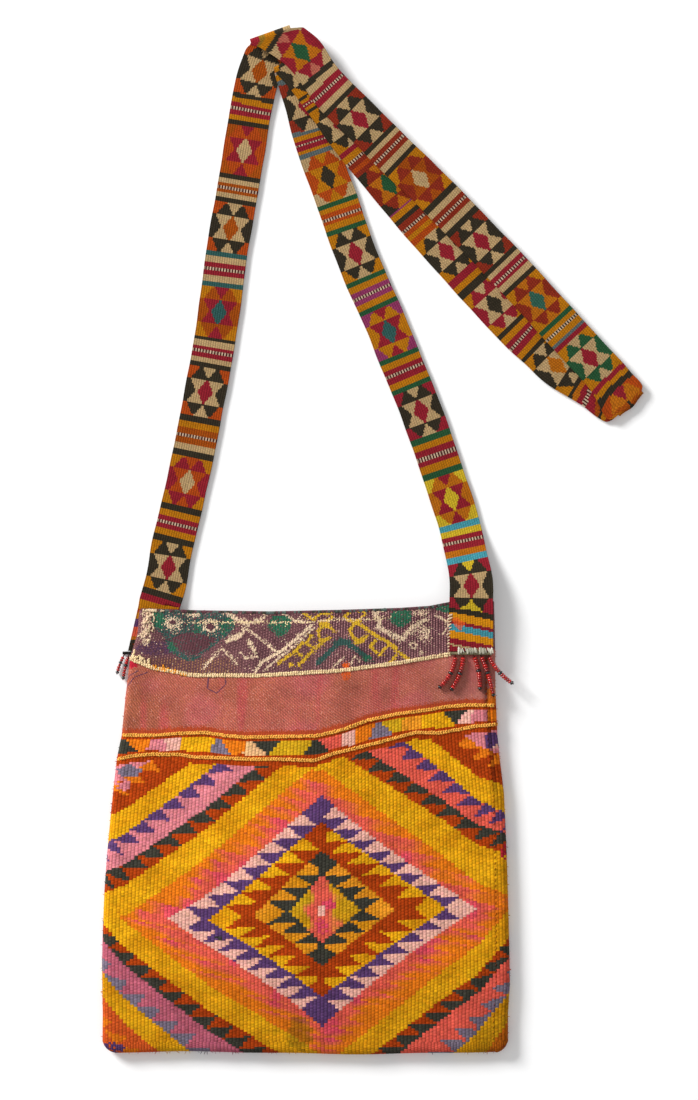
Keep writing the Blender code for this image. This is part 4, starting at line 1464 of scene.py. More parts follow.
@dataclass
class SewnLines:
    """The cords, ropes and hems that are sewn across the bag."""

    form: BagForm
    cord_pitch: float = 0.0013
    cord_size: tuple[float, float, float] = (0.00080, 0.00070, 0.00056)  # half length, width and height
    cord_twine: tuple[Mark, ...] = ((0.00048, 76), (-0.00048, 104))  # each row's shift and its turn
    rope_pitch: float = 0.0014
    rope_size: tuple[float, float, float] = (0.00096, 0.00054, 0.0005)
    rope_twine: tuple[Mark, ...] = ((0.00046, 28), (-0.00046, -28))
    edge_gap: float = 0.0012  # the stitches keep this clear of the folded edges
    fibre_size: tuple[float, float, float] = (0.0013, 0.00016, 0.00014)
    loose_size: tuple[float, float, float] = (0.0010, 0.00052, 0.00045)
    seam_size: tuple[float, float, float] = (0.0009, 0.00032, 0.00030)
    seam_pitch: float = 0.0031
    hem_radius: float = 0.00095
    hem_steps: int = 90
    hem_bulge: float = 0.12  # how unevenly it is rolled
    back_hem_radius: float = 0.0009
    back_hem_steps: int = 120
    seam_inset: Mark = (0.0085, 0.0045)  # of the side seam from the right edge, at the bottom and the mouth
    side_reach: float = 0.0003  # how deep the frayed fibres sit in the side edges
    foot_span: Mark = (-0.103, 0.105)  # where they stand along the bottom edge
    side_fibres: int = 150
    foot_fibres: int = 70
    # Loose stitches at the mouth's left corner: dye, count, first and last pixel, spread in pixels
    tufts: tuple[tuple[Dye, int, Mark, Mark, float], ...] = (
        (Dye.WHITE, 46, (148, 605), (146, 640), 3.2), (Dye.WHITE, 16, (146, 600), (163, 606), 2.0),
        (Dye.LIGHT_CREAM, 34, (128, 654), (150, 662), 2.4), (Dye.AMBER, 34, (150, 666), (186, 674), 1.2),
    )
    # The yarns of the mouth's overcast hem, and how often each comes
    hem_yarns: tuple[tuple[Dye, float], ...] = (
        (Dye.PLUM, 0.42), (Dye.GREY_TEAL, 0.24), (Dye.GREEN_BLACK, 0.20), (Dye.PLUM, 0.11), (Dye.WHITE, 0.03),
    )
    random: Random = seeded(5)

    def row(self, name: str, line: Line, dye: Dye, pitch: float, size: tuple[float, float, float],
            twine: Sequence[Mark], finish: Material, nodes: Sequence[str] = (), last: float = 1.0) -> None:
        """Rows of plump stitches right across the front, in two halves.

        Args:
            name: the pieces' name.
            line: the line that they follow.
            dye: the stitches' colour.
            pitch: the distance between stitches.
            size: half length, half width and half height of a stitch.
            twine: for each row, how far it lies above the line and how far its stitches are turned.
            finish: the yarn's material.
            nodes: the CAD nodes that the first half stands for.
            last: the x that no stitch passes.
        """
        form = self.form
        middle_y = line(np.array([0.0]))[0]
        left = float(form.edge(-1, middle_y)) + self.edge_gap
        right = min(float(form.edge(1, middle_y)) - self.edge_gap, last)
        middle = float(form.middle(middle_y))
        for (side, where), start, end in zip(SIDES, (left, middle), (middle, right)):
            places, ways = [], []
            for shift, slant in twine:
                x = np.arange(start, end, pitch)
                there = form.on_front(x, line(x) + shift)
                tilt = Matrix.Rotation(radians(slant), 3, "Z")
                places.append(there)
                ways += [tilt @ Vector(way) for way in np.gradient(there, axis=0)]
            places = np.vstack(places)
            sizes = np.array(size) * self.random.normal(1, 0.08, (len(places), 3))
            places[:, 2] += 0.35 * size[2]
            places += self.random.normal(0, 0.00008, places.shape)
            colours = yarns(dye, len(places), self.random)
            piece = puffs(f"{name}_{where}", places, ways, sizes, colours, finish)
            bends(piece)
            if side < 0:
                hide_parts(*nodes)

    def build(self) -> None:
        """Sews every line."""
        form = self.form
        cotton = SpunYarn("cream_cotton_cord_stitches").material()
        wool = SpunYarn("golden_twined_weft_stitches").material()
        self.row("cord_stitch", CORD_LINE, Dye.LIGHT_CREAM, self.cord_pitch, self.cord_size,
                 self.cord_twine, cotton, ("front_cream_cord", "back_cream_cord"),
                 form.tab_centre(1) - form.strap_width / 2)
        for name, line in (("upper_rope", UPPER_ROPE), ("lower_rope", LOWER_ROPE)):
            self.row(name, line, Dye.ROPE_GOLD, self.rope_pitch, self.rope_size, self.rope_twine, wool)
        self.hem()
        self.side_seam()
        self.corner_stitches()
        self.frayed_fibres()

    def frayed_fibres(self) -> None:
        """Lets short fibres stand out of the worn side edges and the bottom edge."""
        form, random = self.form, self.random
        y = random.uniform(form.base_y + 0.006, form.mouth_y - 0.02, self.side_fibres)
        side = random.choice((-1, 1), self.side_fibres)
        x = np.where(side < 0, form.edge(-1, y) + self.side_reach, form.edge(1, y) - self.side_reach)
        turn = np.where(side < 0, pi, 0) + random.normal(0, 0.7, self.side_fibres)
        foot_x = random.uniform(*self.foot_span, self.foot_fibres)
        foot_y = np.full(self.foot_fibres, form.base_y + 0.0004)
        turn = np.append(turn, random.normal(-pi / 2, 0.6, self.foot_fibres))
        count = len(turn)
        places = np.stack([np.append(x, foot_x), np.append(y, foot_y), np.full(count, form.edge_radius)], -1)
        ways = np.stack([np.cos(turn), np.sin(turn), random.normal(0, 0.4, count)], -1)
        sizes = np.array(self.fibre_size) * random.uniform(0.5, 1.3, (count, 1))
        colours = TapestryPattern().colour(places[None, :, 0], places[None, :, 1], random)[0]
        piece = puffs("frayed_edge_fibres", places, ways, sizes, tinted(colours * 0.8, random),
                      SpunYarn("frayed_edge_wool").material())
        fixed(piece)

    def corner_stitches(self) -> None:
        """Crowds the mouth's left corner with loose overcast stitches, white above and yellow below."""
        form = self.form
        places, colours = [], []
        for dye, count, (ax, ay), (bx, by), spread in self.tufts:
            share = self.random.random(count)
            x = to_x(mix(ax, bx, share) + self.random.normal(0, spread, count))
            y = to_y(mix(ay, by, share) + self.random.normal(0, spread * 0.6, count))
            y = np.minimum(y, MOUTH_LINE(x))
            x = np.maximum(x, form.edge(-1, y) + self.edge_gap)
            places.append(form.on_front(x, y, 0.0002))
            colours.append(np.tile(dyed(dye), (count, 1)))
        places, colours = np.vstack(places), tinted(np.vstack(colours), self.random)
        turn = self.random.uniform(0.2, 2.2, len(places))
        ways = np.stack([np.cos(turn), np.sin(turn), 0 * turn], -1)
        sizes = np.array(self.loose_size) * self.random.normal(1, 0.15, (len(places), 1))
        piece = puffs("corner_stitches", places, ways, sizes, colours,
                      SpunYarn("loose_overcast_cotton").material())
        bends(piece)

    def hem(self) -> None:
        """Rolls the mouth's hem and overcasts it."""
        form = self.form
        yarn = SpunYarn("overcast_hem_yarn").material()
        middle = float(form.middle(form.mouth_y))
        ends = [float(form.edge(side, form.mouth_y)) for side, _ in SIDES]
        odds = [odd for _, odd in self.hem_yarns]
        for (side, where), end in zip(SIDES, ends):
            x = np.linspace(middle, end - side * 0.0008, self.hem_steps)
            points = form.on_front(x, MOUTH_LINE(x), -form.cloth / 2)
            bulge = self.hem_radius * (1 + self.hem_bulge * self.random.normal(0, 1, len(x)))
            picks = self.random.choice(len(odds), len(x) - 1, p=odds)
            colours = tinted(np.array([dyed(self.hem_yarns[p][0]) for p in picks]), self.random)
            piece = round_cord(f"mouth_hem_{where}", points, bulge, colours, yarn)
            bends(piece)
            if side < 0:
                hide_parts("front_mouth_hem")
        x = np.linspace(ends[0] + 0.002, ends[1] - 0.002, self.back_hem_steps)
        y = MOUTH_LINE(x)
        points = np.stack([x, y, form.back_lift(x, y) + form.cloth * 0.65], -1)
        colours = yarns(Dye.PLUM, len(x) - 1, self.random)
        fixed(round_cord("back_hem", points, self.back_hem_radius, colours, yarn), "back_mouth_hem")

    def side_seam(self) -> None:
        """Sews small stitches along the join near the right edge; the seam's dark line is painted shade in
        the cloth's colours, from seam_shade.
        """
        form = self.form
        y = np.arange(form.wall_foot_y + 0.002, form.mouth_y - 0.012, self.seam_pitch)
        x = form.edge(1, y) - np.interp(y, (form.base_y, form.mouth_y), self.seam_inset)
        ways = np.tile((0.35, 1.0, 0.0), (len(y), 1))
        sizes = np.tile(self.seam_size, (len(y), 1))
        cloth = TapestryPattern().colour(x[None], y[None], self.random)[0]
        colours = tinted(mix(cloth, dyed(Dye.DEEP_RUST), 0.4) * 0.8, self.random)
        piece = puffs("right_seam_stitches", form.on_front(x, y, 0.0001), ways, sizes, colours,
                      SpunYarn("dark_seam_thread").material())
        fixed(piece, "right_side_seam")


# The strap

class Bars(Enum):
    """The rows of short bars that run across the strap: light yarn, then the ground."""

    WHITE = (Band.BAR, Band.BAR_GROUND)
    DOTS = (Band.BAR, Band.BLACK)


Stripe = tuple[Band | Bars, float]
Place = tuple[float, float, float]


@dataclass(frozen=True)
class StarLook:
    """The yarns of one star panel."""

    star: Band
    core: Band
    flank: Band
    corner: Band
    tongue: Band | None = None  # the inward triangles, where they differ from the star


CREAM_ORANGE = StarLook(Band.CREAM, Band.BURNT_ORANGE, Band.BLACK, Band.CORAL_ORANGE)
CREAM_CRIMSON_CORAL = StarLook(Band.CREAM, Band.CRIMSON, Band.BLACK, Band.CORAL_ORANGE)
CREAM_CRIMSON_GOLD = StarLook(Band.CREAM, Band.CRIMSON, Band.BLACK, Band.MUSTARD)
CREAM_CRIMSON_MAROON = StarLook(Band.CREAM, Band.CRIMSON, Band.BLACK, Band.MAROON)


def stripes(edge: Band, pale: Band, ground: Band, bars: Bars = Bars.WHITE,
            last_pale: Band | None = None) -> tuple[Stripe, ...]:
    """The usual group of stripes between two star panels.

    Args:
        edge: the outer lines.
        pale: the lines inside them.
        ground: the stripe on both sides of the bars.
        bars: the row of bars.
        last_pale: the second inner line, where it differs.

    Returns:
        The stripes with their widths in pixels.
    """
    return ((edge, 5), (pale, 6), (ground, 5), (bars, 3.0), (ground, 5), (last_pale or pale, 6), (edge, 5))


def total_width(group: Sequence[Stripe]) -> float:
    """The width of a group of stripes, in pixels."""
    return sum(width for _, width in group)


@dataclass(frozen=True)
class Panel:
    """One star panel, by its middle on the photograph, and the stripes that follow it."""

    px: float
    py: float
    look: StarLook
    after: tuple[Stripe, ...]


DARK_GOLD_CRIMSON = stripes(Band.BLACK, Band.MUSTARD, Band.CRIMSON)
DARK_CREAM_CRIMSON = stripes(Band.BLACK, Band.CREAM, Band.CRIMSON)
DARK_CREAM_MAROON = stripes(Band.BLACK, Band.CREAM, Band.MAROON)
GREEN_GOLD_CRIMSON = stripes(Band.GREEN, Band.MUSTARD, Band.CRIMSON)

LEFT_RUN = (
    Panel(168, 568, CREAM_CRIMSON_GOLD, DARK_GOLD_CRIMSON),
    Panel(187, 483, StarLook(Band.CORAL_ORANGE, Band.CREAM, Band.CRIMSON, Band.MUSTARD),
          stripes(Band.BLACK, Band.CREAM, Band.BURNT_ORANGE, last_pale=Band.MUSTARD)),
    Panel(205, 393, CREAM_CRIMSON_CORAL, DARK_CREAM_CRIMSON),
    Panel(217, 313, StarLook(Band.CRIMSON, Band.TEAL, Band.BURNT_ORANGE, Band.MUSTARD),
          stripes(Band.TEAL, Band.CREAM, Band.CRIMSON)),
    Panel(226, 228, CREAM_ORANGE, stripes(Band.BLACK, Band.CREAM, Band.BURNT_ORANGE)),
    Panel(243, 151, StarLook(Band.CRIMSON, Band.CREAM, Band.CORAL_ORANGE, Band.BURNT_ORANGE),
          DARK_GOLD_CRIMSON),
    Panel(257, 71, CREAM_ORANGE, ((Band.BLACK, 7), (Band.MUSTARD, 7), (Band.CRIMSON, 8))),
)
UPPER_TAIL = (
    Panel(299, 54, StarLook(Band.ORANGE, Band.GREEN, Band.CRIMSON, Band.CREAM, Band.SALMON),
          DARK_CREAM_CRIMSON),
    Panel(361, 118, CREAM_CRIMSON_MAROON, DARK_CREAM_MAROON),
    Panel(423, 175, StarLook(Band.BURNT_ORANGE, Band.CREAM, Band.MAROON, Band.MUSTARD),
          DARK_CREAM_MAROON),
    Panel(485, 237, CREAM_CRIMSON_MAROON, DARK_CREAM_CRIMSON),
    Panel(539, 298, StarLook(Band.ORANGE, Band.SEA_GREEN, Band.MAROON, Band.MUSTARD),
          ((Band.GREEN, 5), (Band.MUSTARD, 6), (Bars.DOTS, 3.4), (Band.MUSTARD, 6), (Band.SLATE, 5),
           (Band.CRIMSON, 5))),
    Panel(596, 351, StarLook(Band.CREAM, Band.CRIMSON, Band.GREEN, Band.MUSTARD),
          ((Band.CRIMSON, 5), (Band.MUSTARD, 5), (Band.BLACK, 6))),
    Panel(643, 399, StarLook(Band.BURNT_ORANGE, Band.BLACK, Band.ORANGE, Band.CORAL_ORANGE,
                             Band.CRIMSON), ()),
)
LOWER_TAIL = (
    Panel(557, 366, StarLook(Band.CREAM, Band.ORANGE, Band.BLACK, Band.MUSTARD), DARK_GOLD_CRIMSON),
    Panel(496, 304, StarLook(Band.CREAM, Band.BLACK, Band.CRIMSON, Band.MUSTARD),
          ((Band.BLACK, 5), (Band.MUSTARD, 5), (Band.CRIMSON, 5))),
    Panel(447, 252, CREAM_CRIMSON_GOLD,
          ((Band.CORAL_ORANGE, 6), (Band.MUSTARD, 5), (Band.CORAL_ORANGE, 5), (Bars.WHITE, 3.4),
           (Band.MAROON, 5), (Band.BLACK, 6), (Band.MUSTARD, 5), (Band.ORCHID, 2))),
    Panel(388, 186, StarLook(Band.ORANGE, Band.GREEN, Band.MAROON, Band.BLACK),
          ((Band.MAROON, 5), (Band.CORAL_ORANGE, 6), (Band.MAROON, 5), (Bars.WHITE, 3.4), (Band.MUSTARD, 6),
           (Band.CRIMSON, 6))),
    Panel(338, 125, CREAM_CRIMSON_GOLD,
          ((Band.BLACK, 5), (Band.MUSTARD, 6), (Band.CRIMSON, 4), (Bars.WHITE, 3.4), (Band.CRIMSON, 4),
           (Band.MUSTARD, 6), (Band.BLACK, 4))),
    Panel(290, 78, CREAM_CRIMSON_GOLD, ((Band.BLACK, 5), (Band.MUSTARD, 6), (Band.CRIMSON, 6))),
)
RIGHT_RUN = (
    Panel(303, 104, CREAM_CRIMSON_MAROON, stripes(Band.SLATE, Band.MUSTARD, Band.CRIMSON)),
    Panel(329, 175, StarLook(Band.MUSTARD, Band.BLACK, Band.CORAL_ORANGE, Band.CREAM),
          stripes(Band.GREEN, Band.MUSTARD, Band.CORAL_ORANGE)),
    Panel(356, 252, CREAM_CRIMSON_GOLD, stripes(Band.GREEN, Band.MUSTARD, Band.ORCHID)),
    Panel(390, 330, StarLook(Band.CRIMSON, Band.TEAL, Band.MUSTARD, Band.ORCHID), GREEN_GOLD_CRIMSON),
    Panel(419, 411, StarLook(Band.CREAM, Band.CRIMSON, Band.BLACK, Band.CRIMSON), GREEN_GOLD_CRIMSON),
    Panel(451, 498, StarLook(Band.CRIMSON, Band.YELLOW, Band.ORANGE, Band.YELLOW),
          stripes(Band.TURQUOISE, Band.YELLOW, Band.CRIMSON, last_pale=Band.ORANGE)),
    Panel(472.7, 584.5, StarLook(Band.CREAM, Band.CRIMSON, Band.BLACK, Band.CRIMSON, Band.YELLOW), ()),
)
# Stripes on the sewn ends: the right one's follow its last star, the left one's the hinge line
RIGHT_END = ((Band.BLACK, 6), (Band.GOLD, 8), (Band.CRIMSON, 3.5), (Band.TURQUOISE, 6.5), (Band.GOLD, 7.5),
             (Band.CRIMSON, 6), (Band.CREAM, 1.8), (Band.CRIMSON, 30))
LEFT_END = ((Band.MUSTARD, 5), (Band.CORAL_ORANGE, 4), (Band.MUSTARD, 6), (Band.PURPLE, 9), (Band.CORAL, 9),
            (Band.ORANGE, 4), (Band.BLACK, 40))
# The stripes before each run's first star, from the star back
BEFORE = (
    ((Band.BLACK, 6), (Band.CRIMSON, 20)),
    ((Band.BLACK, 5), (Band.MUSTARD, 7), (Band.OLIVE, 3), (Band.CRIMSON, 10)),
    ((Band.BLACK, 4), (Band.ORANGE, 5), (Band.CRIMSON, 5), (Bars.WHITE, 3.4), (Band.CRIMSON, 5),
     (Band.BURNT_ORANGE, 5), (Band.BLACK, 5), (Band.MUSTARD, 8), (Band.MAROON, 10)),
    ((Band.SLATE, 5), (Band.MUSTARD, 6), (Bars.DOTS, 3.4), (Band.ORANGE, 7), (Band.BLACK, 5)),
)


@dataclass
class StarPattern:
    """Star panels and stripes along the band, in pixels from a panel's middle."""

    half_length: float = 25.0
    core_along: float = 12.0
    core_across: float = 8.3
    tip_along: float = 12.5
    tip_across: float = 17.4
    tongue_across: float = 8.0
    step: float = 2.4  # the pattern's edges run in steps of two picks

    def star(self, along: Array, across: Array, look: StarLook) -> Array:
        """The yarns of a star panel.

        Args:
            along, across: the cells' distances from the panel's middle, in pixels.
            look: the panel's yarns.

        Returns:
            A linear colour for each cell.
        """
        a, n = (np.floor(np.abs(along) / self.step) + 0.5) * self.step, np.abs(across)
        out = (a - self.tip_along) / (self.half_length - self.tip_along)
        beyond, tongue = a > self.tip_along, self.tongue_across * out
        tip = mix(self.tip_across, self.tongue_across, out)
        found = np.broadcast_to(dyed(look.star), (*a.shape, 3))
        found = painted(found, beyond & (n < tongue), dyed(look.tongue or look.star))
        found = painted(found, beyond & (n > tongue) & (n < tip), dyed(look.flank))
        found = painted(found, beyond & (n >= tip), dyed(look.corner))
        notch = ~beyond & (n > mix(self.core_across, self.tip_across, a / self.tip_along) + 0.6)
        found = painted(found, notch, dyed(look.flank))
        return painted(found, a / self.core_along + n / self.core_across < 1, dyed(look.core))

    def bands(self, share: Array, column: Array, group: Sequence[Stripe]) -> Array:
        """The yarns of a group of stripes.

        Args:
            share: how far through the group each cell lies, from 0 to 1.
            column: the cells' columns across the band.
            group: the stripes and their widths.

        Returns:
            A linear colour for each cell.
        """
        ends = np.cumsum([width for _, width in group]) / total_width(group)
        which = np.searchsorted(ends, np.clip(share, 0, 0.9999), side="right").clip(0, len(group) - 1)
        pairs = [d.value if isinstance(d, Bars) else (d, d) for d, _ in group]
        light, dark = np.array([[dyed(band) for band in pair] for pair in pairs]).transpose(1, 0, 2)
        return painted(dark[which], column % 2 == 1, light[which])


@dataclass
class Strap:
    """The woven shoulder band: one length with three folds and both ends sewn to the bag."""

    form: BagForm
    reach: float = 0.3185
    lay_gap: float = 0.0004
    twist_length: float = 0.015
    drape_length: float = 0.045
    crease_length: float = 0.040  # over this the cells square up again beside a fold
    corner_length: float = 0.0052  # over this the edges round off to a fold's soft corners
    corner_pulls: tuple[float, float, float] = (0.20, 0.34, 0.06)
    right_spread: float = 1.06  # the right end lies a little wider than the band
    spread_length: float = 0.025  # over this it narrows to the band again
    wobble: float = 0.012  # how unevenly the band's edges run
    tail_draw: float = 0.20  # how much the upper tail's lower edge draws in where it leaves the first fold
    draw_run: tuple[float, float, float] = (0.006, 0.020, 0.030)  # drawn in by, let go from and over
    # The loose tip: where it bulges, by pixels, how far across and down, and over what distance
    tip_bulges: tuple[tuple[float, float, float, float, float], ...] = (
        (603, 410, 0, 11, 14), (642, 389, 7, 1, 10), (632, 403, 5, 6, 11),
    )
    row: float = 0.00088
    columns: int = 28
    stitch_size: tuple[float, float, float] = (0.0015, 0.0005, 0.0004)  # of the right end's whip stitches
    stitch_pitch: float = 0.0017
    fold_steps: int = 10
    pattern: StarPattern = field(default_factory=StarPattern)
    random: Random = seeded(3)
    # The route: across from the left end to the right end, up from the hinge line, layers beneath
    left_run: tuple[Place, ...] = (
        (0.000, 0.000, 0), (0.022, 0.042, 0), (0.038, 0.094, 0), (0.057, 0.137, 0), (0.076, 0.180, 0),
        (0.111, 0.266, 0), (0.142, 0.353, 0), (0.172, 0.439, 0), (0.196, 0.525, 0), (0.217, 0.612, 0),
        (0.245, 0.698, 0), (0.272, 0.784, 0), (0.293, 0.854, 0), (0.318, 0.914, 0), (0.3585, 0.981, 0),
    )
    upper_tail: tuple[Place, ...] = (
        (0.3585, 0.981, 3), (0.396, 0.968, 3), (0.445, 0.9485, 3), (0.500, 0.915, 3), (0.567, 0.876, 3),
        (0.663, 0.826, 2.6), (0.756, 0.776, 2), (0.862, 0.722, 1.4), (1.000, 0.646, 1), (1.138, 0.569, 1),
        (1.267, 0.493, 1), (1.350, 0.444, 1), (1.433, 0.396, 1), (1.501, 0.353, 1),
    )
    lower_tail: tuple[Place, ...] = (
        (1.501, 0.353, 0), (1.456, 0.367, 0), (1.408, 0.373, 0), (1.347, 0.389, 0), (1.276, 0.413, 0),
        (1.212, 0.446, 0), (1.141, 0.481, 0), (1.023, 0.550, 0), (0.907, 0.619, 0), (0.795, 0.688, 0.3),
        (0.689, 0.757, 1), (0.612, 0.807, 1.6), (0.548, 0.857, 2), (0.487, 0.902, 2), (0.426, 0.940, 2),
    )
    right_run: tuple[Place, ...] = (
        (0.426, 0.940, 1), (0.448, 0.902, 1), (0.469, 0.864, 1), (0.496, 0.810, 0.4), (0.529, 0.757, 0),
        (0.570, 0.698, 0), (0.614, 0.629, 0), (0.665, 0.560, 0), (0.723, 0.491, 0), (0.774, 0.422, 0),
        (0.827, 0.353, 0), (0.874, 0.284, 0), (0.917, 0.215, 0), (0.959, 0.146, 0), (0.985, 0.085, 0),
        (1.000, 0.042, 0), (1.000, 0.000, 0),
    )

    def route(self, shares: Sequence[Place]) -> Array:
        """Evenly spaced points on a smooth line through given marks.

        Args:
            shares: the marks, as shares of the strap's spread and reach.

        Returns:
            The points.
        """
        form = self.form
        start, spread = form.tab_centre(-1), form.tab_centre(1) - form.tab_centre(-1)
        layer = form.strap_thickness + self.lay_gap
        marks = np.array([(start + a * spread, form.hinge_y + u * self.reach,
                           form.strap_thickness / 2 + n * layer) for a, u, n in shares])
        marks = np.vstack([2 * marks[0] - marks[1], marks, 2 * marks[-1] - marks[-2]])
        t = np.linspace(0, 1, 24, endpoint=False)[:, None]
        spans = [(2 * b + (c - a) * t + (2 * a - 5 * b + 4 * c - d) * t**2
                  + (3 * b - a - 3 * c + d) * t**3) / 2
                 for a, b, c, d in zip(marks, marks[1:], marks[2:], marks[3:])]
        dense = np.vstack([*spans, marks[-2][None]])
        steps = np.concatenate([[0], np.cumsum(np.linalg.norm(np.diff(dense[:, :2], axis=0), axis=1))])
        even = np.linspace(0, steps[-1], round(steps[-1] / self.row) + 1)
        return np.stack([np.interp(even, steps, dense[:, i]) for i in range(3)], axis=-1)

    def crease(self, into: Array, out_of: Array, incoming: Array) -> Array:
        """The half width along a fold's crease, on the same side as the band's own.

        Args:
            into, out_of: the band's directions before and after the fold.
            incoming: the band's own half width there.

        Returns:
            The half width.
        """
        line = into + out_of
        line = line / np.linalg.norm(line)
        slope = abs(into[0] * line[1] - into[1] * line[0])
        across = line * self.form.strap_width / 2 / slope
        return across if across @ incoming > 0 else -across

    def bend(self, low: Array, high: Array, crease: Array, way: Array) -> Array:
        """The middles of the sections round a fold.

        Args:
            low, high: where one run ends and the next begins.
            crease: the half width along the fold.
            way: the band's direction as it comes in.

        Returns:
            The middles.
        """
        out = np.array([crease[1], -crease[0], 0])
        out /= np.linalg.norm(out)
        out = out if out @ way > 0 else -out
        turn = (pi * np.arange(1, self.fold_steps) / self.fold_steps)[:, None]
        bend = low + out * abs(high[2] - low[2]) * 0.3 * np.sin(turn)
        bend[:, 2] = mix(low[2], high[2], (1 - np.cos(turn[:, 0])) / 2)
        return bend

    def sections(self) -> list[Array]:
        """The band's sections from end to end.

        Returns:
            Middles, half widths, directions, the run's number and the distance along that run.
        """
        routes = [self.route(r) for r in (self.left_run, self.upper_tail, self.lower_tail, self.right_run)]
        parts = []
        side, start_crease, pulls = 1, None, (0.0, *self.corner_pulls, 0.0)
        for number, points in enumerate(routes):
            way = np.gradient(points, axis=0)
            way[:, 2] = 0
            way /= np.linalg.norm(way, axis=1)[:, None]
            half = np.stack([-way[:, 1], way[:, 0], 0 * way[:, 0]], -1) * side * self.form.strap_width / 2
            dist = np.arange(len(points)) * np.linalg.norm(points[1, :2] - points[0, :2])
            end_crease = None
            if number == 1:
                by, start, over = self.draw_run
                drawn = self.tail_draw * (ease(dist / by) * (1 - ease((dist - start) / over)))[:, None]
                points, half = points - half * drawn, half * (1 - drawn)
            if number < len(routes) - 1:
                following = routes[number + 1]
                out_of = following[1] - following[0]
                out_of[2] = 0
                end_crease = self.crease(way[-1], out_of / np.linalg.norm(out_of), half[-1])
            for crease, away, pull in ((start_crease, dist, pulls[number]),
                                       (end_crease, dist[-1] - dist, pulls[number + 1])):
                if crease is not None:
                    share = np.clip(away / self.crease_length, 0, 1)[:, None]
                    near = 1 - np.clip(away / self.corner_length, 0, 1)[:, None]
                    half = mix(crease, half, share) * (1 - pull * (1 - np.sqrt(1 - near**2)))
            parts.append((points, half, way, np.full(len(points), number), dist))
            if end_crease is not None:
                bend = self.bend(points[-1], routes[number + 1][0], end_crease, way[-1])
                wide = end_crease * (1 - pulls[number + 1])
                parts.append((bend, *(np.broadcast_to(value, (len(bend), *np.shape(value)))
                                      for value in (wide, way[-1], number, dist[-1]))))
                start_crease, side = end_crease, -side
        return [np.concatenate(part) for part in zip(*parts)]

    def seated(self, middle: Array, half: Array) -> tuple[Array, Array]:
        """Brings both ends of the band down to the hinge line.

        Args:
            middle, half: the sections.

        Returns:
            The settled sections.
        """
        form = self.form
        at_right = middle[:, 0] > (form.tab_centre(-1) + form.tab_centre(1)) / 2
        along = middle[:, 1] - form.hinge_y
        held = 1 - ease(along / np.where(at_right, self.drape_length, self.twist_length))
        middle, half = middle.copy(), half.copy()
        middle[:, 2] = mix(middle[:, 2], form.hinge_height(middle[:, 0]), held)
        rise = form.hinge_height(middle[:, 0] + half[:, 0]) - form.hinge_height(middle[:, 0])
        half[:, 2] = mix(0, rise, held)
        half[at_right] *= mix(self.right_spread, 1.0, ease(along[at_right] / self.spread_length))[:, None]
        return middle, half

    def softened(self, grid: Array) -> Array:
        """Bulges the loose tip, both layers alike.

        Args:
            grid: the band's points.

        Returns:
            The moved points.
        """
        px, py = to_px(grid[..., 0]), to_py(grid[..., 1])
        grid = grid.copy()
        for at_px, at_py, right, down, size in self.tip_bulges:
            share = np.exp(-(((px - at_px) ** 2 + (py - at_py) ** 2) / size**2))
            grid[..., 0] += right * PIXEL * share
            grid[..., 1] -= down * PIXEL * share
        return grid

    def end_sections(self, side: int) -> tuple[Array, Array]:
        """The sections of a sewn end, from its far edge up to the hinge line.

        Args:
            side: -1 for the left end, 1 for the right.

        Returns:
            Middles and half widths.
        """
        form = self.form
        rows = round(form.tab_length / self.row)
        share = np.arange(rows) / rows
        y = mix(form.hinge_y - form.tab_length, form.hinge_y, share)
        centre, held = form.tab_centre(side), ease(share)
        slant, seat, spread = 0.0, form.tab_seat() + form.clearance, self.right_spread
        if side < 0:
            slant = centre - form.strap_width / 2 - form.whip_overhang - form.left_whip_x
            seat, spread = 0.0, 1
        x = centre - slant * (1 - share)
        z = mix(seat + form.strap_thickness / 2, form.hinge_height(np.full(rows, centre)), held)
        tip = form.hinge_height(centre + form.strap_width / 2) - form.hinge_height(centre)
        half = np.stack([np.full(rows, form.strap_width / 2 * spread), 0 * y, held * tip], -1)
        return np.stack([x, y, z], -1), half

    def build(self) -> None:
        """Weaves the band and sews on its right end."""
        form = self.form
        middle, half, way, run, dist = self.sections()
        middle, half = self.seated(middle, half)
        across = np.linspace(-1, 1, self.columns + 1)
        count = np.arange(len(middle))
        wobble = 1 + self.wobble * np.sin(count / 5.3) * np.sin(count / 17.0)
        grid = middle[:, None] + half[:, None] * across[None, :, None] * wobble[:, None, None]
        along = dist[:, None] + np.einsum("rk,rk->r", half, way)[:, None] * across[None]
        grid = self.softened(grid)
        ends = []
        for side, joins in ((-1, half[0]), (1, half[-1])):
            mid, wide = self.end_sections(side)
            sign = -1 if joins[0] < 0 else 1
            ends.append(mid[:, None] + wide[:, None] * across[None, :, None] * sign)
        points = np.concatenate([ends[0], grid, ends[1][::-1]])
        colours = np.concatenate([self.left_end_colours(ends[0]),
                                  self.run_colours(middle, run, dist, along),
                                  self.right_end_colours(ends[1][::-1])])[:-1]
        finish = WovenCotton("finger_woven_cotton_band", relief=0.00025, valley=0.60, pebble=0.6,
                             mottle=0.08, mottle_mm=12, fibre_mm=0.4, slant=0.2).material()
        threads = np.stack(np.meshgrid(np.arange(self.columns + 1) / 1.6, np.arange(len(points)) / 1.5),
                           axis=-1)
        if not self.faces_up(points):
            points, colours, threads = points[:, ::-1], colours[:, ::-1], threads[:, ::-1]
        piece = woven_grid("shoulder_strap", points, tinted(colours, self.random, 0.07), finish,
                           form.strap_thickness, threads, offset=0)
        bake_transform(piece)
        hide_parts("strap", "strap_end_left", "strap_end_right")
        self.edge_stitches()

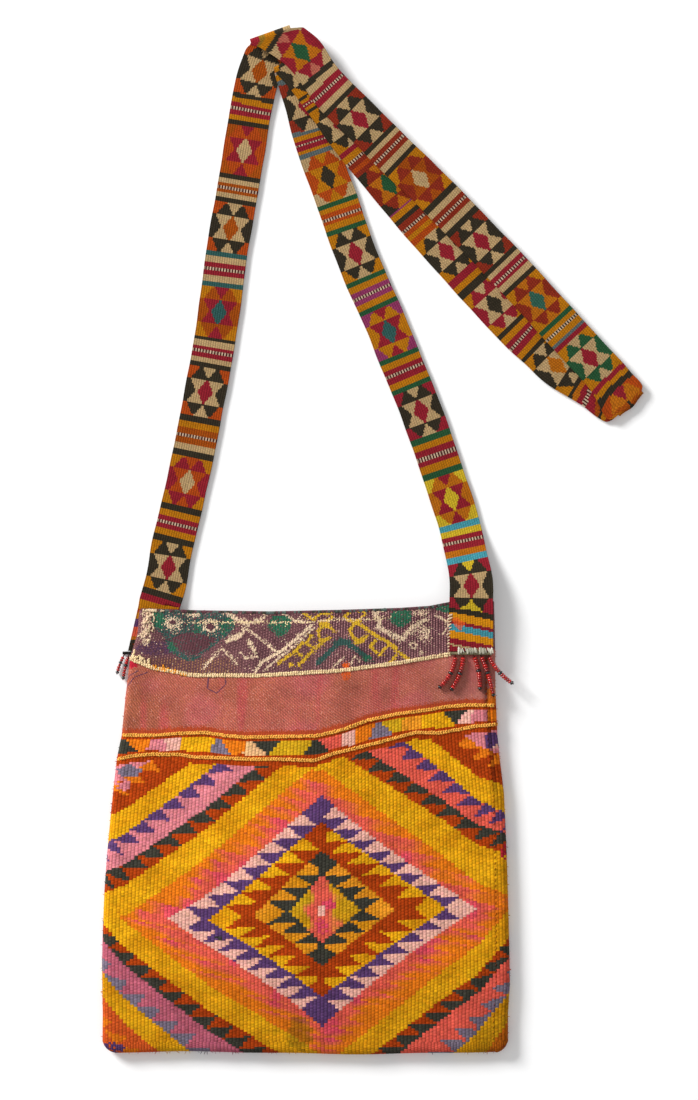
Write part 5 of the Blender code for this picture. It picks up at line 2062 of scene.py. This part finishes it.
    def edge_stitches(self) -> None:
        """Whips the right end's inner edge to the bag with white cotton."""
        form = self.form
        y = np.arange(form.hinge_y - form.tab_length + 0.001, form.hinge_y - 0.005, self.stitch_pitch)
        left = form.tab_centre(1) - form.strap_width / 2 * self.right_spread
        share = (y - form.hinge_y + form.tab_length) / form.tab_length
        z = mix(form.tab_seat() + form.clearance, form.hinge_height(np.full(len(y), left)), ease(share))
        places = np.stack([left + self.random.normal(0.0001, 0.0003, len(y)), y,
                           z + form.strap_thickness * 0.8], -1)
        sizes = np.tile(self.stitch_size, (len(y), 1)) * self.random.normal(1, 0.15, (len(y), 1))
        fixed(puffs("strap_edge_stitches", places, np.tile((1, 0.45, -0.25), (len(y), 1)), sizes,
                    yarns(Dye.WHITE, len(y), self.random), SpunYarn("white_whip_stitch_cotton").material()))

    def faces_up(self, points: Array) -> bool:
        """Whether the grid's first run faces upwards."""
        a, b = points[40, -1] - points[40, 0], points[41, 0] - points[40, 0]
        return float(np.cross(a, b)[2]) > 0

    def cell_columns(self, rows: int) -> tuple[Array, Array]:
        """The cells of some rows: their columns and their distances from the middle, in pixels."""
        across = ((np.arange(self.columns) + 0.5) / self.columns * 2 - 1) * self.form.strap_width / 2 / PIXEL
        return tuple(np.broadcast_to(a, (rows, self.columns)) for a in (np.arange(self.columns), across))

    def left_end_colours(self, grid: Array) -> Array:
        """The stripes of the left sewn end, from the hinge line down."""
        depth = (self.form.hinge_y - grid[:, :-1, 1]) / PIXEL
        return self.pattern.bands(depth / total_width(LEFT_END), self.cell_columns(len(grid))[0], LEFT_END)

    def right_end_colours(self, grid: Array) -> Array:
        """The right sewn end: the last star's lower half and the stripes below it, which slant.

        Args:
            grid: the end's points.

        Returns:
            A linear colour for each cell of the rows.
        """
        px, py = to_px(grid[:, :-1, 0]), to_py(grid[:, :-1, 1])
        last = RIGHT_RUN[-1]
        along = py - last.py - 0.20 * (px - 474) * ease((py - 600) / 14)
        column, n = self.cell_columns(len(grid))
        below = along - self.pattern.half_length
        striped = self.pattern.bands(below / total_width(RIGHT_END), column, RIGHT_END)
        flap = Figure(Dye.CORAL_ORANGE, ((450, 617), (457, 616), (466, 622), (461, 630), (457, 626)))
        striped = painted(striped, flap.inside(px, py), flap.dye, 0.7)
        star = StarPattern(tongue_across=10.5, tip_across=16.0).star(along, n, last.look)
        return painted(striped, below < 0, star)

    def run_colours(self, middle: Array, run: Array, dist: Array, along: Array) -> Array:
        """The star panels and stripes of all four runs.

        Args:
            middle: the sections' middles.
            run: the run of each section.
            dist: its distance along that run.
            along: each corner's own distance along the run.

        Returns:
            A linear colour for each cell of the rows.
        """
        colours = np.zeros((len(middle), self.columns, 3))
        reach = self.pattern.half_length
        for number, panels in enumerate((LEFT_RUN, UPPER_TAIL, LOWER_TAIL, RIGHT_RUN)):
            rows = np.flatnonzero(run == number)
            centres = []
            for panel in panels:
                here = np.array([to_x(panel.px), to_y(panel.py)])
                nearest = np.argmin(np.linalg.norm(middle[rows, :2] - here, axis=1))
                heading = np.gradient(middle[rows, :2], axis=0)[min(nearest, len(rows) - self.fold_steps - 1)]
                past = (here - middle[rows[nearest], :2]) @ heading / np.linalg.norm(heading)
                centres.append((dist[rows[nearest]] + past) / PIXEL)
            a = ((along[:, :-1] + along[:, 1:]) / 2 / PIXEL)[rows]
            column, n = self.cell_columns(len(rows))
            found = np.broadcast_to(dyed(Band.BLACK), (*a.shape, 3)).copy()
            for index, (panel, centre) in enumerate(zip(panels, centres)):
                off = a - centre
                inside = np.abs(off) <= reach
                found[inside] = self.pattern.star(off[inside], n[inside], panel.look)
                if not panel.after:
                    continue
                last = index == len(panels) - 1
                gap = total_width(panel.after) if last else centres[index + 1] - centre - 2 * reach
                share = (off - reach) / max(gap, 1)
                between = (off > reach) & (share < (9 if last else 1))
                found[between] = self.pattern.bands(share[between], column[between], panel.after)
            before = a < centres[0] - reach
            share = (centres[0] - reach - a) / total_width(BEFORE[number])
            found[before] = self.pattern.bands(share[before], column[before], BEFORE[number])
            colours[rows] = found
        bend = (run == 0) & (dist >= dist[run == 0].max() - 1e-9)
        colours[bend] = colours[np.flatnonzero(run == 1)[0]]
        return colours


# Beads and whipping

@dataclass(frozen=True)
class Strand:
    """One strand of beads: its place across the end, its length and its lean from first to last."""

    name: str
    place: float
    length: float
    first_lean: float  # in degrees
    last_lean: float
    black: float  # how far down its black bead sits


@dataclass
class BeadStrands:
    """The strands of glass beads that hang from both whipped strap ends."""

    form: BagForm
    bead_radius: float = 0.00115
    bead_length: float = 0.00140
    # Half of a bead's outline from one bore edge to the other, in shares of its radius and half length
    outline: tuple[Mark, ...] = ((0.42, -0.80), (0.66, -1), (0.93, -0.62), (1, 0), (0.93, 0.62), (0.66, 1),
                                 (0.42, 0.80))
    thread_radius: float = 0.00040
    strand_length: float = 0.0200
    lead: float = 0.0010
    bead_points: int = 3
    bead_width: Mark = (0.88, 1.12)  # how wide the beads are at the left and the right end
    bead_spread: float = 0.05
    black_extra: float = 0.2  # how much wider the black bead is
    white_core: str = "#EDBFB0"
    red: str = "#A0120E"
    black: str = "#141616"
    thread: str = "#4A1612"
    whip_colours: tuple[str, str] = ("#23211F", "#7E7458")  # of the left and the right end
    whip_turns: int = 70
    tuft_size: tuple[float, float, float] = (0.0019, 0.00050, 0.00048)
    tuft_greys: tuple[str, str] = ("#86846E", "#DCD6C4")  # the darkest and the palest white yarn
    random: Random = seeded(8)
    right: tuple[Strand, ...] = (
        Strand("a", 0.08, 1.00, -6, -52, 0.45), Strand("b", 0.29, 0.98, -4, -38, 0.45),
        Strand("c", 0.57, 0.95, 22, -4, 0.42), Strand("d", 0.76, 1.12, 24, 10, 0.40),
        Strand("e", 0.97, 0.98, 26, 58, 0.50),
    )
    left: tuple[Strand, ...] = (
        Strand("f", 0.11, 0.62, -18, -8, 0.30), Strand("g", -0.02, 0.52, -26, -14, 0.30),
    )
    # Bundles of white yarn over the right whipping, by pixels, and the yarns in each
    tufts: tuple[tuple[float, float, int], ...] = (
        (458.5, 463, 4), (466, 476, 9), (479.5, 485.5, 6), (488, 492, 4),
    )

    def end_span(self, side: int) -> tuple[float, float]:
        """The left and right x of a whipped end."""
        left = self.form.left_whip_x if side < 0 else self.form.tab_centre(1) - self.form.strap_width / 2
        return left, left + self.form.strap_width

    def lying_height(self, x: float, y: float, side: int) -> float:
        """The height at which a strand lies.

        Args:
            x, y: the place.
            side: the end that it hangs from.

        Returns:
            The height of its middle.
        """
        if side < 0:
            return self.bead_radius
        form = self.form
        x = min(x, float(form.plain_edge(1, y)) - form.edge_radius)
        height = float(form.front_height(np.array(x), np.array(y)))
        return max(height, form.edge_height) + form.clearance + self.bead_radius

    def route(self, start: Mark, length: float, leans: Mark, side: int) -> list[Vector]:
        """Points along a strand.

        Args:
            start: where its beads begin.
            length: their length.
            leans: the first and last lean in degrees.
            side: the end that it hangs from.

        Returns:
            The points, several to a bead.
        """
        last = self.bead_points * ceil(length / self.bead_length)
        x, y = start
        points = []
        for step in range(last + 1):
            points.append(Vector((x, y, self.lying_height(x, y, side))))
            lean = radians(mix(*leans, step / last))
            x += sin(lean) * self.bead_length / self.bead_points
            y -= cos(lean) * self.bead_length / self.bead_points
        return points

    def bead_shape(self) -> bmesh.types.BMesh:
        """A drawn seed bead of unit length, bored through along Z.

        Returns:
            The shape.
        """
        bm = bmesh.new()
        r, h = self.bead_radius, self.bead_length * 0.44
        verts = [bm.verts.new((x * r, 0, z * h)) for x, z in self.outline]
        edges = [bm.edges.new((a, b)) for a, b in zip(verts, verts[1:] + verts[:1])]
        bmesh.ops.spin(bm, geom=verts + edges, cent=(0, 0, 0), axis=(0, 0, 1), angle=2 * pi, steps=10,
                       use_merge=True)
        bmesh.ops.remove_doubles(bm, verts=bm.verts, dist=1e-6)
        bmesh.ops.recalc_face_normals(bm, faces=bm.faces)
        return bm

    def string(self, strand: Strand, side: int, glass: Material, thread: Material) -> None:
        """Strings one strand.

        Args:
            strand: the strand.
            side: -1 for the left end, 1 for the right.
            glass, thread: the finishes.
        """
        form = self.form
        left, right = self.end_span(side)
        x = mix(left + self.bead_radius, right - self.bead_radius, strand.place)
        y = form.whip_y - form.whip_radius - form.clearance
        lean = radians(strand.first_lean)
        first = (x + sin(lean) * self.lead, y - cos(lean) * self.lead)
        points = self.route(first, strand.length * self.strand_length - self.lead,
                            (strand.first_lean, strand.last_lean), side)
        black = max(round((len(points) // self.bead_points) * strand.black), 1)
        placings, colours = [], []
        beads = (len(points) - 1) // self.bead_points
        for bead in range(beads):
            a, b = points[bead * self.bead_points], points[(bead + 1) * self.bead_points]
            turn = (b - a).to_track_quat("Z", "Y").to_matrix().to_4x4()
            wide = self.bead_width[side > 0] + self.random.normal(0, self.bead_spread)
            wide += self.black_extra * (bead == black)
            placings.append(Matrix.Translation((a + b) / 2) @ turn @ Matrix.Diagonal((wide, wide, 1, 1)))
            dark = bead in (black, beads - 1)
            colours.append(linear(self.black) if dark else linear(self.red) * self.random.uniform(0.6, 1.4))
        mesh = repeated(self.bead_shape(), placings, np.clip(colours, 0.002, 1), linear(self.white_core))
        piece = filed(f"bead_string_{strand.name}", mesh, glass)
        body = f"strand_{strand.name}"
        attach(piece, body)
        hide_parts(body, f"black_bead_{strand.name}")
        start = Vector((x, y, self.lying_height(x, y, side)))
        line = [start + (start - points[0]).normalized() * 0.0009, *points, 2 * points[-1] - points[-2]]
        core = round_cord(f"bead_thread_{strand.name}", np.array(line), self.thread_radius,
                          np.tile(linear(self.thread), (len(line) - 1, 1)), thread, sides=6)
        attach(core, body)

    def whipping(self, side: int, where: str, thread: Material) -> None:
        """Binds one strap end with thread and ties its puffs of white yarn.

        Args:
            side: -1 for the left end, 1 for the right.
            where: that end's name.
            thread: the yarn's finish.
        """
        form, turns = self.form, self.whip_turns
        seat = form.tab_seat() + form.clearance if side > 0 else 0.0
        radius = form.whip_radius * (0.93 + 0.07 * np.cos(np.arange(turns) * pi))
        points = np.stack([np.linspace(*self.end_span(side), turns), np.full(turns, form.whip_y),
                           np.full(turns, seat + form.whip_radius)], -1)
        colours = yarns(linear(self.whip_colours[side > 0]), turns - 1, self.random, 0.15)
        piece = round_cord(f"end_whipping_{where}", points, radius, colours, thread)
        fixed(piece, f"whipping_{where}")
        if side < 0:
            return
        spots = to_x(np.concatenate([np.linspace(a, b, count) for a, b, count in self.tufts]))
        count = len(spots)
        lift = self.random.normal(0.0015, 0.0002, count)
        height = np.full(count, seat + form.strap_thickness + 0.0003)
        places = np.stack([spots, form.whip_y + lift, height], -1)
        ways = np.stack([self.random.normal(0, 0.25, count), np.ones(count), np.zeros(count)], -1)
        sizes = np.array(self.tuft_size) * self.random.normal(1, 0.1, (count, 1))
        greys = mix(*map(linear, self.tuft_greys), self.random.random((count, 1)))
        fixed(puffs("white_yarn_tufts", places, ways, sizes, greys, thread))

    def build(self) -> None:
        """Strings every strand and binds both ends."""
        glass = SeedGlass("white_heart_seed_bead_glass").material()
        thread = SpunYarn("whipping_cotton_thread", ply_mm=0.4).material()
        for (side, where), strands in ((SIDES[1], self.right), (SIDES[0], self.left)):
            self.whipping(side, where, thread)
            for strand in strands:
                self.string(strand, side, glass, thread)


# The studio

@dataclass
class Studio:
    """A white sweep, soft lamps and the camera at the photograph's place."""

    distance: float = 2.0
    sensor: float = 36.0
    subject_height: float = 0.004
    floor_drop: float = 0.0006
    floor_half: float = 6.0
    softbox_place: tuple[float, float, float] = (-2.5, 2.25, 1.7)
    softbox_aim: tuple[float, float, float] = (0.02, 0.12, 0)
    softbox_size: tuple[float, float] = (1.3, 1.1)
    softbox_energy: float = 196.0
    sky_strength: float = 0.52

    def camera(self) -> None:
        """Hangs the camera straight above the photograph's middle."""
        data = bpy.data.cameras.new("photo_camera")
        data.sensor_fit = "AUTO"
        data.sensor_width = self.sensor
        data.lens = self.sensor * (self.distance - self.subject_height) / (PHOTO_HEIGHT * PIXEL)
        camera = bpy.data.objects.new("photo_camera", data)
        camera.location = (to_x(PHOTO_WIDTH / 2), to_y(PHOTO_HEIGHT / 2), self.distance)
        bpy.context.scene.collection.objects.link(camera)
        bpy.context.scene.camera = camera

    def floor(self) -> None:
        """Lays the white sweep under the bag."""
        bm = bmesh.new()
        bmesh.ops.create_grid(bm, x_segments=1, y_segments=1, size=self.floor_half)
        bmesh.ops.translate(bm, vec=(0, 0, -self.floor_drop), verts=bm.verts)
        filed("floor", mesh_of("floor", bm), PaperSweep().material())

    def lamps(self) -> None:
        """Hangs one soft lamp at the upper left and fills the rest from the sky."""
        data = bpy.data.lights.new("softbox", "AREA")
        data.shape = "RECTANGLE"
        data.size, data.size_y = self.softbox_size
        data.energy = self.softbox_energy
        lamp = bpy.data.objects.new("softbox", data)
        lamp.location = self.softbox_place
        aim = Vector(self.softbox_aim) - lamp.location
        lamp.rotation_euler = aim.to_track_quat("-Z", "Y").to_euler()
        bpy.context.scene.collection.objects.link(lamp)
        world = bpy.data.worlds.new("studio_fill")
        world.use_nodes = True
        sky = world.node_tree.nodes["Background"]
        sky.inputs["Color"].default_value = (1, 1, 1, 1)
        sky.inputs["Strength"].default_value = self.sky_strength
        bpy.context.scene.world = world
        bpy.context.scene.view_settings.view_transform = "Standard"

    def build(self) -> None:
        """Sets the stage."""
        self.camera()
        self.floor()
        self.lamps()


def main() -> None:
    """Builds the studio and the bag, and reports each piece."""
    logging.basicConfig(level=logging.INFO, format="%(message)s")
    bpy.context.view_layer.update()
    form = BagForm()
    for part in (Studio(), Walls(form), SewnLines(form), Strap(form), BeadStrands(form)):
        earlier = set(bpy.data.objects)
        part.build()
        for piece in bpy.data.objects:
            if piece.type == "MESH" and piece not in earlier:
                LOG.info("%s: %d faces", piece.name, len(piece.data.polygons))


if __name__ == "__main__":
    main()
